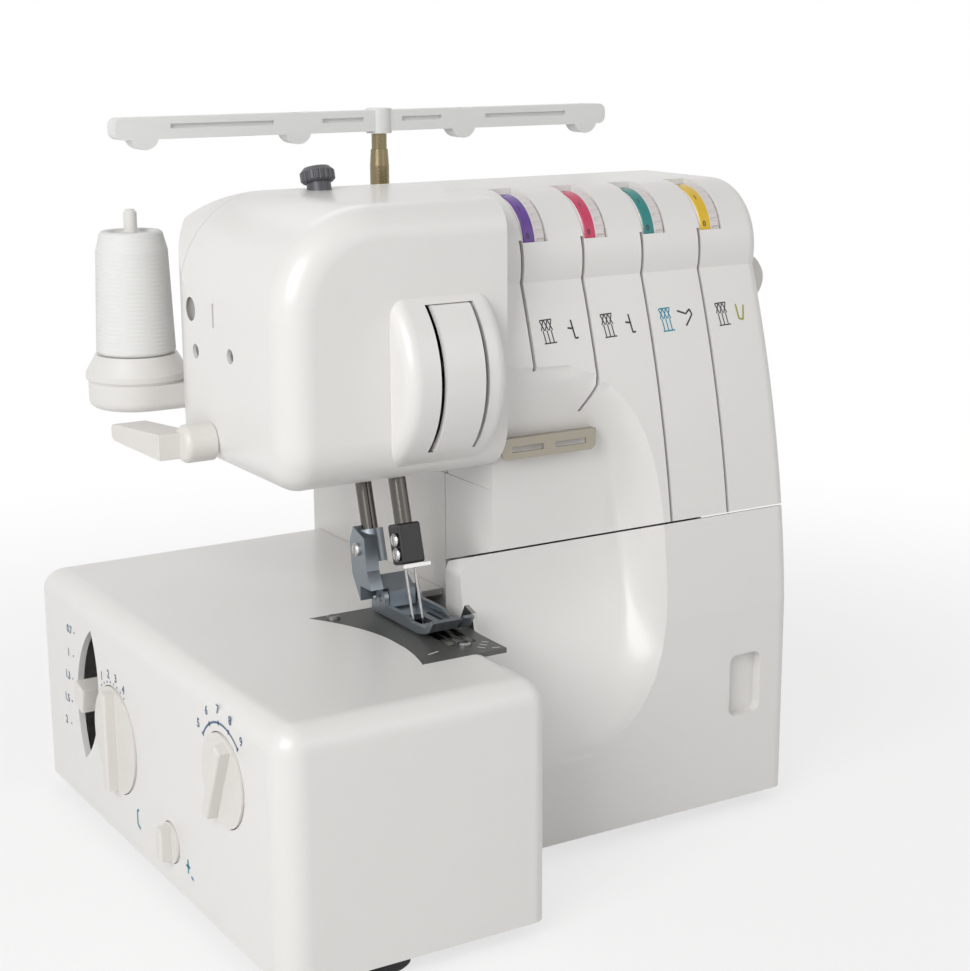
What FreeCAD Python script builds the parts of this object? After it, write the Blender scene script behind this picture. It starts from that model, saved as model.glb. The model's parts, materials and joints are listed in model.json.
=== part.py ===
import FreeCAD, Part
import math
import os

os.makedirs("parts", exist_ok=True)
V = FreeCAD.Vector

# A four-thread overlock sewing machine. Lengths are in millimetres and angles in degrees.
# Places are measured from the lower front left corner of the bed housing: x to the right, y to the back,
# z up from the housing's lower edge. When a piece is written it is moved, so that the origin is the middle
# of the machine's footprint on the table.

# Clearances
wall = 2.8
seam = 0.4
running = 0.05
loose = 0.3
far = 600.0

# Bed housing, the box at the left
bed_width = 113.5
bed_depth = 256.0
bed_height = 100.0
bed_round = 10.0
bed_corner = 11.0
bed_back_corner = 4.0
bed_right_corner = 6.0

# Base plate and feet
plate_thickness = 3.0
plate_front = 76.0
foot_height = 7.0
foot_radius = 10.0
foot_left = 48.0
foot_back_left = 28.0
foot_right = 262.0
foot_front = 14.0
foot_middle = 96.0
foot_back = 234.0

# Arm: the right part of the machine, drawn by its side outline
arm_left = 140.0
arm_right = 281.0
arm_round = 6.0
front_y = 57.6
front_straight_z = bed_height - 10.0
belly_y = 67.0
belly_z = bed_height + 65.0
band_radius = 29.0
band_y = 115.0
band_z = bed_height + 146.0
crease_z = bed_height + 138.5
back_y = 205.0
back_bend_start = 165.0
back_bend_y = 194.0
back_bend_z = bed_height + 161.0
back_straight_z = bed_height + 128.0
shelf_z = bed_height + 75.0
shelf_back = 254.0

# Head: the overhanging left part that holds the needle bar
head_left = 40.0
head_front = 72.0
throat_height = 63.0
head_under = bed_height + throat_height
head_chin = 20.0
head_front_round = 13.0
head_shoulder = 42.0
head_back_round = 42.0
head_lower_corner = 14.0
head_back_seam = 171.0

# Seams between the housing pieces
column_seam_y = 123.5
column_seam_z = head_under - 10.0
panel_back = 122.0
parting_z = bed_height + 34.8
parting_slope = 0.326

# Scoop in the front, which gives room for the cloth beside the needle
scoop_x = 140.0
scoop_half_width = 73.0
scoop_mid_z = bed_height + 19.0
scoop_below = 86.0
scoop_above = 88.0
scoop_depth = 27.0
scoop_wall_width = 9.0
scoop_wall_spread = 34.0
scoop_power = 3.0
scoop_curl = 26.0
scoop_lower_run = 92.0
scoop_margin = 12.0
scoop_from_x = 100.0
scoop_to_x = 228.0
scoop_rows = 40
scoop_columns = 36

# Looper cover and its hinge
cover_left = 124.5
cover_return = 66.0
cover_back = 97.0
tongue_thick = 9.0
hinge_y = 70.0
hinge_z = 9.0
hinge_radius = 2.5
knuckle_radius = 5.0
knuckle_length = 12.0
recess_left = 247.6
recess_right = 265.0
recess_low = 39.7
recess_high = 68.4
recess_depth = 5.0
recess_round = 4.0
tongue_low = 60.0
hinge_lugs = (160.0, 228.0)
hinge_knuckles = (136.0, 250.0)
lug_length = 8.0

# Needle plate, let into the bed's top
plate_right = 119.5
plate_near = 40.0
plate_far = 117.0
plate_waist_x = 81.0
plate_bend_y = 84.0
plate_tip_x = 69.5
plate_sheet = 2.0
plate_ledge = 4.0
plate_screws = ((106.5, 51.5), (78.0, 111.0))

# Needle bar and presser bar lean back by the same angle; the needles cross the bed's plane at needle_y
bar_lean = 16.0
bar_slope = math.cos(math.radians(bar_lean))
needle_x = 102.4
needle_y = 81.1
needle_gap = 4.4
needle_radius = 0.6
needle_free = 27.0
needle_bar_radius = 3.6
clamp_width = 10.5
clamp_depth = 10.0
clamp_height = 17.0
clamp_screw_heights = (4.4, 10.4)
clamp_screw_depth = 2.0
presser_x = 98.0
presser_y = 104.5
presser_radius = 3.5
presser_low = 29.0
presser_travel = 6.0

# Presser foot
foot_x0 = 96.8
foot_x1 = 116.4
sole_front = 60.0
sole_back = 112.0
sole_low = bed_height + 1.0
sole_thick = 2.4
ankle_y = 104.0
ankle_z = sole_low + 7.0
ankle_radius = 1.5

# Take-up lever and the curved cover in front of it
take_up_y = 97.0
take_up_z = bed_height + 106.0
bulge_radius = 41.0
bulge_left = 86.0
bulge_right = 132.0
bulge_round = 6.0
slot_left = 100.0
slot_right = 122.0
slot_gap = 2.4
take_up_low = take_up_z - 29.0
take_up_high = take_up_z + 30.0
take_up_reach = 35.0

# Shafts, pulleys and belts
shaft_y = 130.0
shaft_z = bed_height + 126.0
shaft_radius = 5.0
main_y = 150.0
main_z = 45.0
bush_wall = 3.0
crank_radius = 17.0
crank_throw = 12.0
crank_x = 112.0
crank_thick = 6.0
timing_x = 263.0
timing_width = 8.0
timing_radius = 14.0
belt_thick = 2.0
drive_x = 243.0
drive_width = 8.0
drive_radius = 26.0
motor_y = 207.0
motor_radius = 30.0
motor_x0 = 160.0
motor_pulley_radius = 8.0
wheel_radius = 26.0
wheel_end = 314.0
wheel_nose_radius = 10.0

# Frame walls, between the tension dials
frame_thick = 6.0
frame_x0 = 144.0
frame_x1 = 234.0
head_frame_x = 74.0

# Tension dials
dial_y = 109.0
dial_z = bed_height + 152.0
dial_radius = 21.0
dial_width = 12.0
dial_first_x = 156.2
dial_pitch = 30.5
dial_count = 4
slot_width = 1.6
axle_radius = 3.0
disc_radius = 13.0
disc_thick = 0.8
window_low = dial_z + 3.0
slot_ends = tuple(bed_height + rise for rise in (103.0, 95.0, 20.0, 20.0))

# Controls on the bed's left face
length_dial = (166.0, 44.0, 23.5)
width_dial = (50.5, 65.5, 18.5)
differential_gap = 10.0
differential = (length_dial[0] + length_dial[2] + differential_gap, 54.0)
differential_half_height = 33.0
differential_half_width = 13.0
differential_turn = 13.0
hem_dial = (107.0, 19.0, 8.5)
control_depth = 9.0
control_reach = 6.0
control_shaft = 3.5
bracket_x = 14.0
bracket_thick = 3.0

# Presser lifter and pressure knob
lifter_y = 144.0
lifter_z = head_under + 12.0
lifter_hub = 8.0
lifter_shaft = 4.0
lifter_outer = 26.0
lifter_tip = 200.0
lifter_width = 15.0
knob_radius = 7.4
knob_neck = 5.2

# Thread stand
stand_y = 234.0
stand_radius = 22.0
stand_thick = 12.0
pole_x = 163.0
pole_y = 222.0
pin_pitch = 79.8
pin_radius = 3.0
pin_base_radius = 4.2
pin_top = shelf_z + 88.5
cone_radius = 23.0
cone_height = 12.0
thread_low_radius = 18.0
thread_high_radius = 16.0
thread_top_radius = 13.5
thread_shoulder = shelf_z + 70.5
thread_top = shelf_z + 79.0
pole_radius = 4.5
pole_top = shelf_z + 111.0
pole_wall = 0.9
rod_radius = 2.3
guide_low = shelf_z + 119.5
guide_high = guide_low + 9.5
guide_left = 131.0
guide_right = 125.0
guide_thick = 9.0
guide_eyes = (-117.3, -43.5, 43.5, 113.5)
hook_radius = 6.5

# Loopers, knives and feed dogs
looper_z = 36.0
lower_looper_x = 118.0
upper_looper_x = 104.0
looper_thick = 3.0
lower_looper_y = 84.5
upper_looper_y = 90.0
looper_shaft_radius = 4.0
looper_shaft_back = 134.0
knife_x = 121.3
knife_thick = 2.0
knife_pivot_y = 112.0
knife_pivot_z = 70.0
feed_x0 = 101.5
feed_x1 = 113.5
feed_travel = 2.0
feed_rows = (101.5, 106.0, 110.5)
feed_row_width = 3.0
feed_front = (56.0, 74.0)
feed_back = (87.0, 106.0)
feed_bar_back = 146.0
feed_bar_width = 5.0

# Small pieces
screw_head = 2.8
head_screws = ((157.0, bed_height + 110.8), (122.0, bed_height + 113.4))
lamp_x = 52.0
lamp_y = 98.0
lamp_width = 22.0
lamp_depth = 16.0
vent_y = 161.0
vent_z = bed_height + 128.0
vent_radius = 5.0
thread_slot_y = 137.0
lug_low = head_under + 5.0
lug_high = bed_height + 148.0
lug_thick = 8.0
take_up_lug_x = 126.0
take_up_shaft = 4.0
lug_end = (lug_low + lug_thick - bed_height) / bar_slope
stud_low = lug_end + 13.0
collar_low = lug_end + 5.0
knob_low = (lug_high - bed_height) / bar_slope - 4.0
needle_bar_top = (lug_high + lug_thick - bed_height) / bar_slope + 0.7
presser_top = knob_low - presser_travel - 2 * loose
knurl_count = 20
grip_count = 12
dial_ribs = 36
ear_width = 2.0
guide_plate_left = 141.0
guide_plate_right = 188.0
guide_plate_low = head_under + 3.5
switch_y = 196.0
switch_z = 64.0
switch_width = 16.0
switch_height = 24.0
switch_room = 13.4
inlet_y = 190.0
inlet_z = 20.0
inlet_width = 28.0
inlet_height = 20.0
core_radius = 9.0
differential_travel = 18.0


# Building blocks

def block(x0, x1, y0, y1, z0, z1):
    return Part.makeBox(x1 - x0, y1 - y0, z1 - z0, V(x0, y0, z0))


def rod(radius, start, end):
    start, end = V(*start), V(*end)
    return Part.makeCylinder(radius, (end - start).Length, start, end - start)


def tube(outer, inner, start, end):
    return rod(outer, start, end).cut(rod(inner, start, end))


def prism(points, along):
    wire = Part.makePolygon([V(*p) for p in points] + [V(*points[0])])
    return Part.Face(wire).extrude(V(*along))


def prism_x(points, x0, x1):
    return prism([(x0, y, z) for y, z in points], (x1 - x0, 0, 0))


def prism_y(points, y0, y1):
    return prism([(x, y0, z) for x, z in points], (0, y1 - y0, 0))


def prism_z(points, z0, z1):
    return prism([(x, y, z0) for x, y in points], (0, 0, z1 - z0))


def turned(points, centre, axis):
    """Solid of revolution: points are (radius, height along the axis from the centre)."""
    face = Part.Face(Part.makePolygon([V(r, 0, h) for r, h in points] + [V(points[0][0], 0, points[0][1])]))
    solid = face.revolve(V(0, 0, 0), V(0, 0, 1), 360)
    solid.Placement = FreeCAD.Placement(V(*centre), FreeCAD.Rotation(V(0, 0, 1), V(*axis)))
    return solid


def join(first, *others):
    return first.fuse(list(others)).removeSplitter()


def round_edges(shape, radius, chosen):
    return shape.makeFillet(radius, [edge for edge in shape.Edges if chosen(edge)])


def leaning(shape, x, y):
    """Put a shape drawn along z on a bar's axis, which leans back and crosses the bed's plane at x, y."""
    shape.rotate(V(0, 0, 0), V(1, 0, 0), -bar_lean)
    shape.translate(V(x, y, bed_height))
    return shape


def middle(edge):
    return edge.valueAt((edge.FirstParameter + edge.LastParameter) / 2)


# Outer form of the arm and head

def top_z():
    return band_z + band_radius


def crease_depth():
    return band_y - math.sqrt(band_radius ** 2 - (band_z - crease_z) ** 2)


def front_at(z):
    """Depth of the arm's front at a height, on the straight part or on the belly's arc."""
    if z <= front_straight_z:
        return front_y
    crease_y = crease_depth()
    share = (z - front_straight_z) / (crease_z - front_straight_z)
    share = min(share, 1.0)
    belly_share = (belly_z - front_straight_z) / (crease_z - front_straight_z)
    chord = front_y + (crease_y - front_y) * share
    bow = front_y + (crease_y - front_y) * belly_share - belly_y
    return chord - bow * share * (1 - share) / (belly_share * (1 - belly_share))


def side_solid(left, right, edges):
    return Part.Face(Part.Wire(edges)).extrude(V(right - left, 0, 0))


def arm(left):
    """The arm: a belly below the crease and a rounded band above it, each with its right rim rounded."""
    crease_y = crease_depth()
    lean = band_radius * math.sqrt(0.5)
    overlap = 10.0

    def at(y, z):
        return V(left, y, z)
    low = at(front_y, 0)
    straight = at(front_y, front_straight_z)
    crease = at(crease_y, crease_z)
    belly = side_solid(left, arm_right, [
        Part.makeLine(low, straight),
        Part.Arc(straight, at(belly_y, belly_z), crease).toShape(),
        Part.makeLine(crease, at(back_y, crease_z)),
        Part.makeLine(at(back_y, crease_z), at(back_y, shelf_z)),
        Part.makeLine(at(back_y, shelf_z), at(shelf_back, shelf_z)),
        Part.makeLine(at(shelf_back, shelf_z), at(shelf_back, 0)),
        Part.makeLine(at(shelf_back, 0), low)])
    crown = at(band_y, top_z())
    bend = at(back_bend_start, top_z())
    back = at(back_y, back_straight_z)
    band = side_solid(left, arm_right, [
        Part.Arc(crease, at(band_y - lean, band_z + lean), crown).toShape(),
        Part.makeLine(crown, bend),
        Part.Arc(bend, at(back_bend_y, back_bend_z), back).toShape(),
        Part.makeLine(back, at(crease_y + overlap, back_straight_z)),
        Part.makeLine(at(crease_y + overlap, back_straight_z), crease)])

    def belly_rim(edge):
        in_front = middle(edge).y < belly_y + overlap and middle(edge).z > 1
        return edge.BoundBox.XMin > arm_right - 0.01 and in_front

    def band_rim(edge):
        return edge.BoundBox.XMin > arm_right - 0.01 and middle(edge).z > band_z
    return round_edges(belly, arm_round, belly_rim).fuse(round_edges(band, arm_round, band_rim))


def arm_hollow(left, inset):
    """The hollow inside the arm: its outline moved in by a wall, open below."""
    crease_y = crease_depth()
    lean = band_radius * math.sqrt(0.5)
    x = left + inset

    def at(y, z):
        return V(x, y, z)
    straight = at(front_y, front_straight_z)
    crease = at(crease_y, crease_z)
    crown = at(band_y, top_z())
    bend = at(back_bend_start, top_z())
    back = at(back_y, back_straight_z)
    outline = Part.Wire([
        Part.makeLine(at(front_y, -far), straight),
        Part.Arc(straight, at(belly_y, belly_z), crease).toShape(),
        Part.Arc(crease, at(band_y - lean, band_z + lean), crown).toShape(),
        Part.makeLine(crown, bend),
        Part.Arc(bend, at(back_bend_y, back_bend_z), back).toShape(),
        Part.makeLine(back, at(back_y, shelf_z)),
        Part.makeLine(at(back_y, shelf_z), at(shelf_back, shelf_z)),
        Part.makeLine(at(shelf_back, shelf_z), at(shelf_back, -far)),
        Part.makeLine(at(shelf_back, -far), at(front_y, -far))])
    return Part.Face(outline).makeOffset2D(-inset).extrude(V(arm_right - left - 2 * inset, 0, 0))


def head(inset):
    """The head: its side outline and its front outline, stretched and crossed, with a rounded front rim."""
    left = head_left + inset
    front = head_front + inset
    under = head_under + inset
    top = top_z() - inset
    back = back_y - inset
    right = arm_left - inset
    chin = head_chin - inset
    lean = math.sqrt(0.5)

    def side(y, z):
        return V(left, y, z)
    side_edges = [
        Part.makeLine(side(front, under + chin), side(front, top)),
        Part.makeLine(side(front, top), side(back_bend_start, top)),
        Part.Arc(side(back_bend_start, top), side(back_bend_y - inset, back_bend_z - inset),
                 side(back, back_straight_z)).toShape(),
        Part.makeLine(side(back, back_straight_z), side(back, under)),
        Part.makeLine(side(back, under), side(front + chin, under)),
        Part.Arc(side(front + chin, under), side(front + chin - chin * lean, under + chin - chin * lean),
                 side(front, under + chin)).toShape(),
    ]
    side_form = Part.Face(Part.Wire(side_edges)).extrude(V(right - left, 0, 0))
    shoulder = head_shoulder - inset
    corner = head_lower_corner - inset

    def face(x, z):
        return V(x, front, z)
    front_edges = [
        Part.makeLine(face(left, under + corner), face(left, top - shoulder)),
        Part.Arc(face(left, top - shoulder), face(left + shoulder * (1 - lean), top - shoulder * (1 - lean)),
                 face(left + shoulder, top)).toShape(),
        Part.makeLine(face(left + shoulder, top), face(right, top)),
        Part.makeLine(face(right, top), face(right, under)),
        Part.makeLine(face(right, under), face(left + corner, under)),
        Part.Arc(face(left + corner, under), face(left + corner * (1 - lean), under + corner * (1 - lean)),
                 face(left, under + corner)).toShape(),
    ]
    front_form = Part.Face(Part.Wire(front_edges)).extrude(V(0, back - front, 0))
    turn = head_back_round - inset

    def plan(x, y):
        return V(x, y, under)
    plan_edges = [
        Part.makeLine(plan(left, front), plan(left, back - turn)),
        Part.Arc(plan(left, back - turn), plan(left + turn * (1 - lean), back - turn * (1 - lean)),
                 plan(left + turn, back)).toShape(),
        Part.makeLine(plan(left + turn, back), plan(right, back)),
        Part.makeLine(plan(right, back), plan(right, front)),
        Part.makeLine(plan(right, front), plan(left, front)),
    ]
    plan_form = Part.Face(Part.Wire(plan_edges)).extrude(V(0, 0, top - under))
    solid = side_form.common(front_form).common(plan_form)

    def on_front_rim(edge):
        box = edge.BoundBox
        on_front = abs(box.YMin - front) < 0.01 and abs(box.YMax - front) < 0.01
        return on_front and middle(edge).x < right - 1 and middle(edge).z > under + chin + 1
    return round_edges(solid, head_front_round - inset, on_front_rim)


def bulge(inset):
    form = rod(bulge_radius - inset, (bulge_left + inset, take_up_y, take_up_z),
               (bulge_right - inset, take_up_y, take_up_z))
    form = round_edges(form, bulge_round - inset, lambda edge: edge.Closed and edge.BoundBox.XLength < 0.01)
    return form.common(block(0, far, 0, take_up_y, 0, far))


def ramp(share):
    """Climbs from 0 and flattens out at 1; runs straight on below 0."""
    if share < 0:
        return share * math.pi / 2
    return math.sin(math.pi / 2 * min(share, 1.0))


def scoop_floor(x, z):
    """Depth of the scoop's dished surface at a place; in front of the arm outside the scoop's outline."""
    reach = scoop_below if z < scoop_mid_z else scoop_above
    rise = min(abs(z - scoop_mid_z) / reach, 1.0)
    edge_x = scoop_x + scoop_half_width * (1 - rise ** scoop_power) ** (1 / scoop_power)
    side = (edge_x - x) / (scoop_wall_width + scoop_wall_spread * rise ** 2)
    low = scoop_mid_z - scoop_below + scoop_curl * (max(x - scoop_x, 0) / scoop_half_width) ** 2
    high = scoop_mid_z + scoop_above
    factors = [ramp(side), ramp((z - low) / scoop_lower_run), ramp((high - z) / (high - head_under))]
    lowest = min(factors)
    inside = [max(factor, 0.0) for factor in factors if factor != lowest]
    sink = math.prod(factors) if lowest > 0 else lowest * (0.3 + 0.7 * math.prod(inside))
    start = front_at(z)
    depth = front_y + scoop_depth - start if sink > 0 else scoop_depth
    return start + depth * sink


def scoop(grow):
    """Cutter for the scoop: its dished surface, moved in by grow and stretched forward."""
    rows = []
    for row in range(scoop_rows + 1):
        height = scoop_below + scoop_above + 2 * scoop_margin
        z = scoop_mid_z - scoop_below - scoop_margin + height * row / scoop_rows
        line = []
        for column in range(scoop_columns + 1):
            x = scoop_from_x + (scoop_to_x - scoop_from_x) * column / scoop_columns
            line.append(V(x + grow, scoop_floor(x, z) + grow, z))
        rows.append(line)
    surface = Part.BSplineSurface()
    surface.interpolate(rows)
    return surface.toShape().extrude(V(0, -far, 0))


def body_form():
    """The outer form of the arm and head together."""
    return arm(arm_left).cut(scoop(0)).fuse([head(0), bulge(0)])


def body_hollow():
    """The hollow inside the arm and head, a wall in from the outer form."""
    passage = block(arm_left - 2 * wall, arm_left + 2 * wall, panel_back, back_y - 2 * wall,
                    head_under + wall, crease_z)
    arm_space = arm_hollow(arm_left, wall).cut(scoop(wall))
    return arm_space.fuse([head(wall), bulge(wall), passage])


def below_parting(gap):
    """Everything under the slanted plane between the looper cover and the tension panel."""
    rise = parting_z - gap + parting_slope * front_y
    return prism_x([(0, -far), (0, rise), (far, rise - parting_slope * far), (far, -2 * far)], -far, far)


def rear_zone(gap):
    upper = block(-far, far, head_back_seam + gap, far, -far, far)
    column = block(-far, far, column_seam_y + gap, far, -far, column_seam_z - gap)
    side = block(arm_right - wall - gap, far, cover_return + gap, far, -far, far).common(below_parting(gap))
    return upper.fuse([column, side])


def bed_form(inset):
    """The bed's box and the low step behind it that runs to the column, with rounded edges."""
    low = -far if inset else 0
    box = block(inset, bed_width - inset, inset, bed_depth - inset, low, bed_height - inset)

    def upright_left(edge):
        return edge.BoundBox.ZLength > bed_height / 2 and middle(edge).x < bed_width / 2

    def upright_front(edge):
        return upright_left(edge) and middle(edge).y < bed_depth / 2

    def upright_back(edge):
        return upright_left(edge) and middle(edge).y > bed_depth / 2

    def upright_right(edge):
        return edge.BoundBox.ZLength > bed_height / 2 and middle(edge).x > bed_width / 2

    def upper(edge):
        return edge.BoundBox.ZMin > bed_height - inset - 0.01
    box = round_edges(box, bed_corner - inset, upright_front)
    box = round_edges(box, bed_right_corner - inset, upright_right)
    box = round_edges(box, bed_back_corner - inset, upright_back)
    box = round_edges(box, bed_round - inset, upper)
    step_end = arm_left + 2 * wall if inset else arm_left - seam
    step = block(bed_width - 2 * bed_round, step_end, column_seam_y + inset, bed_depth - inset, low,
                 bed_height - inset)

    def step_back(edge):
        return upper(edge) and middle(edge).y > bed_depth - inset - 0.01
    return box.fuse(round_edges(step, bed_round - inset, step_back))


def differential_slot(grow):
    """Lens-shaped slot in the bed's left face, leaning a little, for the differential lever."""
    y, z = differential
    high = differential_half_height + grow
    wide = differential_half_width + grow
    top, low = V(-far, y, z + high), V(-far, y, z - high)
    lens = Part.Wire([Part.Arc(low, V(-far, y - wide, z), top).toShape(),
                      Part.Arc(top, V(-far, y + wide, z), low).toShape()])
    solid = Part.Face(lens).extrude(V(far + control_depth, 0, 0))
    solid.rotate(V(0, y, z), V(1, 0, 0), differential_turn)
    return solid


def plate_outline(grow):
    """Needle plate seen from above: straight front, right and back, and a swept left side."""
    right, front, back = plate_right + grow, plate_near - grow, plate_far + grow
    sweep = Part.BSplineCurve()
    sweep.interpolate([V(plate_waist_x - grow, front, 0), V(plate_waist_x + 3 - grow, plate_bend_y, 0),
                       V(plate_tip_x - grow, back, 0)])
    wire = Part.Wire([sweep.toShape(), Part.makeLine(V(plate_tip_x - grow, back, 0), V(right, back, 0)),
                      Part.makeLine(V(right, back, 0), V(right, front, 0)),
                      Part.makeLine(V(right, front, 0), V(plate_waist_x - grow, front, 0))])
    return Part.Face(wire)


def bed_housing():
    shape = bed_form(0).cut(bed_form(wall))
    pocket = plate_outline(loose).extrude(V(0, 0, plate_sheet + loose))
    pocket.translate(V(0, 0, bed_height - plate_sheet))
    shape = shape.cut(pocket)
    shape = shape.cut(block(plate_waist_x + plate_ledge, far, plate_near + plate_ledge,
                            plate_far - plate_ledge, 0, far))
    shape = shape.cut(block(bed_width - 2 * wall, far, plate_near + plate_ledge, column_seam_y + wall, -1,
                            far))
    for x, y in plate_screws:
        shape = shape.cut(rod(screw_head / 2, (x, y, bed_height / 2), (x, y, far)))
    for y, z, radius in (length_dial, width_dial, hem_dial):
        shape = shape.cut(rod(radius + seam, (-1, y, z), (2 * wall, y, z)))
    return shape.cut(differential_slot(0).common(block(-1, 2 * wall, 0, far, 0, far)))


def base_plate():
    inner = wall + loose
    left_end, right_end = bed_width - wall - loose, arm_right - wall - loose
    back = shelf_back - wall - loose
    outline = [(inner, inner), (left_end, inner), (left_end, plate_front), (right_end, plate_front),
               (right_end, back),
               (inner, back)]
    shape = prism_z(outline, 0, plate_thickness)

    def left_corner(edge):
        return edge.BoundBox.ZLength > 1 and middle(edge).x < inner + 1

    def right_corner(edge):
        return edge.BoundBox.ZLength > 1 and middle(edge).x > left_end - 1 and middle(edge).y < inner + 1
    shape = round_edges(shape, bed_corner - wall, left_corner)
    shape = round_edges(shape, bed_right_corner - wall, right_corner)
    for x in hinge_lugs:
        eye = rod(knuckle_radius, (x, hinge_y, hinge_z), (x + lug_length, hinge_y, hinge_z))
        leg = block(x, x + lug_length, hinge_y, plate_front + knuckle_radius, 0, hinge_z)
        lug = eye.fuse(leg).cut(block(x, x + lug_length, 0, plate_front - loose, -1,
                                      hinge_z - knuckle_radius))
        shape = shape.fuse(lug)
    for x in hinge_lugs:
        shape = shape.cut(rod(hinge_radius + running, (x - 1, hinge_y, hinge_z),
                              (x + lug_length + 1, hinge_y, hinge_z)))
    return shape.removeSplitter()


def feet():
    return [(foot_left, foot_front), (foot_right, foot_middle), (foot_back_left, foot_back),
            (foot_right, foot_back)]


def rubber_feet():
    edge = 1.5
    outline = [(0, 0), (foot_radius - edge, 0), (foot_radius, edge), (foot_radius, foot_height),
               (0, foot_height)]
    return [turned(outline, (x, y, -foot_height), (0, 0, 1)) for x, y in feet()]


def head_housing(shell):
    zone = block(-far, arm_left, -far, far, 0,
                 far).fuse(block(-far, far, panel_back + seam / 2, far, 0, far))
    shape = shell.common(zone).cut(rear_zone(-seam / 2)).cut(block(-far, far, 0, far, 0,
                                                                   column_seam_z + seam / 2))
    shape = shape.cut(block(slot_left, slot_right, 0, head_front + bulge_round, take_up_low, take_up_high))
    holes = [
        leaning(rod(needle_bar_radius + 2, (0, 0, lug_end - 39), (0, 0, lug_end + 11)), needle_x, needle_y),
        leaning(rod(presser_radius + 2, (0, 0, lug_end - 39), (0, 0, lug_end + 11)), presser_x, presser_y),
        leaning(rod(knob_neck + loose, (0, 0, knob_low + 15), (0, 0, knob_low + 50)), presser_x, presser_y),
        rod(lifter_shaft + loose, (0, lifter_y, lifter_z), (head_left + 4 * wall, lifter_y, lifter_z)),
        rod(shaft_radius + 1, (arm_right - 2 * wall, shaft_y, shaft_z), (arm_right + 1, shaft_y, shaft_z)),
        block(lamp_x, lamp_x + lamp_width, lamp_y, lamp_y + lamp_depth, head_under - 1,
              head_under + 2 * wall),
        rod(vent_radius, (0, vent_y, vent_z), (head_left + wall / 2, vent_y, vent_z)),
        block(0, head_left + 2 * wall, thread_slot_y, thread_slot_y + slot_width, vent_z - vent_radius,
              vent_z + vent_radius),
    ]
    for y, z in head_screws:
        holes.append(rod(screw_head + loose, (0, y, z), (head_left + 2 * wall, y, z)))
    for hole in holes:
        shape = shape.cut(hole)
    return shape


def dial_x(index):
    return dial_first_x + dial_pitch * index


def tension_panel(shell):
    zone = block(arm_left + seam, far, 0, panel_back - seam / 2, 0, far)
    column = block(arm_left - 1, far, 0, column_seam_y - seam / 2, 0, column_seam_z - seam / 2)
    shape = shell.common(zone.fuse(column)).cut(rear_zone(-seam / 2)).cut(below_parting(-seam))
    shape = shape.cut(block(0, arm_left + seam, 0, far, head_under, far))
    for index in range(dial_count):
        x = dial_x(index)
        half = slot_width / 2
        shape = shape.cut(block(x + half, x + half + dial_width + 2 * loose, 0, dial_y + 7, window_low, far))
        shape = shape.cut(block(x - half, x + half, 0, dial_y, slot_ends[index], window_low + 1))
        shape = shape.cut(rod(dial_radius + 2 * loose, (x + half, dial_y, dial_z),
                              (x + half + dial_width + 2 * loose, dial_y, dial_z)))
    x, z = dial_x(1), slot_ends[1]
    hook = [(x - slot_width / 2, z), (x + slot_width / 2, z), (x - 3 * slot_width, z - 12),
            (x - 4 * slot_width, z - 12)]
    return shape.cut(prism_y(hook, 0, dial_y))


def rear_housing(shell):
    shape = shell.common(rear_zone(seam / 2)).cut(block(-far, bed_width, 0, far, -far, bed_height + seam))
    shape = shape.cut(block(-far, arm_left + wall, 0, far, -1, bed_height - bed_round))
    shape = shape.cut(block(arm_right - 2 * wall, far, switch_y - seam, switch_y + switch_width + seam,
                            switch_z - switch_room, switch_z + switch_room))
    shape = shape.cut(block(arm_right - 2 * wall, far, inlet_y, inlet_y + inlet_width, inlet_z,
                            inlet_z + inlet_height))
    return shape


def looper_cover():
    skin = arm(cover_left).cut(scoop(0)).cut(arm_hollow(cover_left, wall).cut(scoop(wall)))
    skin = skin.common(block(0, far, 0, cover_back, 0, far))
    tongue_y = front_y + scoop_depth
    tongue = block(cover_left, cover_left + 3 * tongue_thick, tongue_y, tongue_y + tongue_thick, tongue_low,
                   parting_z)
    tongue = round_edges(tongue, tongue_thick * 0.45,
                         lambda edge: edge.BoundBox.ZLength > 1 and middle(edge).x < cover_left + 1)
    shape = skin.fuse(tongue).common(below_parting(seam))
    ends = block(0, cover_left + wall + seam, cover_return, far, -1, tongue_low)
    right = block(arm_right - wall - seam, far, cover_return, far, -1, far)
    swing_top = hinge_z + hinge_y - cover_return + seam
    shape = shape.cut(ends).cut(right)
    for start, end in ((0, cover_left + wall + seam), (arm_right - wall - seam, far)):
        shape = shape.cut(block(start, end, front_y + wall - 2 * seam, far, -1, swing_top))
    corner = tongue_thick
    nick = block(0, cover_left + corner, 0, far, tongue_top() - corner, far)
    shape = shape.cut(nick.cut(rod(corner, (cover_left + corner, 0, tongue_top() - corner),
                                   (cover_left + corner, far, tongue_top() - corner))))
    for x in hinge_knuckles:
        eye = rod(knuckle_radius, (x, hinge_y, hinge_z), (x + knuckle_length, hinge_y, hinge_z))
        arm_block = block(x, x + knuckle_length, front_y + wall / 2, hinge_y, hinge_z - 3, hinge_z + 3)
        shape = shape.fuse(eye.fuse(arm_block))
        shape = shape.cut(rod(hinge_radius + running, (x - 1, hinge_y, hinge_z),
                              (x + knuckle_length + 1, hinge_y, hinge_z)))
    back = block(recess_left - wall, recess_right + wall, front_y + wall / 2, front_y + recess_depth + wall,
                 recess_low - wall,
                 recess_high + wall)
    pocket = block(recess_left, recess_right, 0, front_y + recess_depth, recess_low, recess_high)
    pocket = round_edges(pocket, recess_round, lambda edge: edge.BoundBox.YLength > 1)
    return shape.fuse(back).cut(pocket)


def tongue_top():
    return parting_z - seam - parting_slope * scoop_depth


def hinge_rod():
    return rod(hinge_radius, (hinge_knuckles[0] - 4, hinge_y, hinge_z),
               (hinge_knuckles[-1] + knuckle_length + 4, hinge_y, hinge_z))


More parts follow.
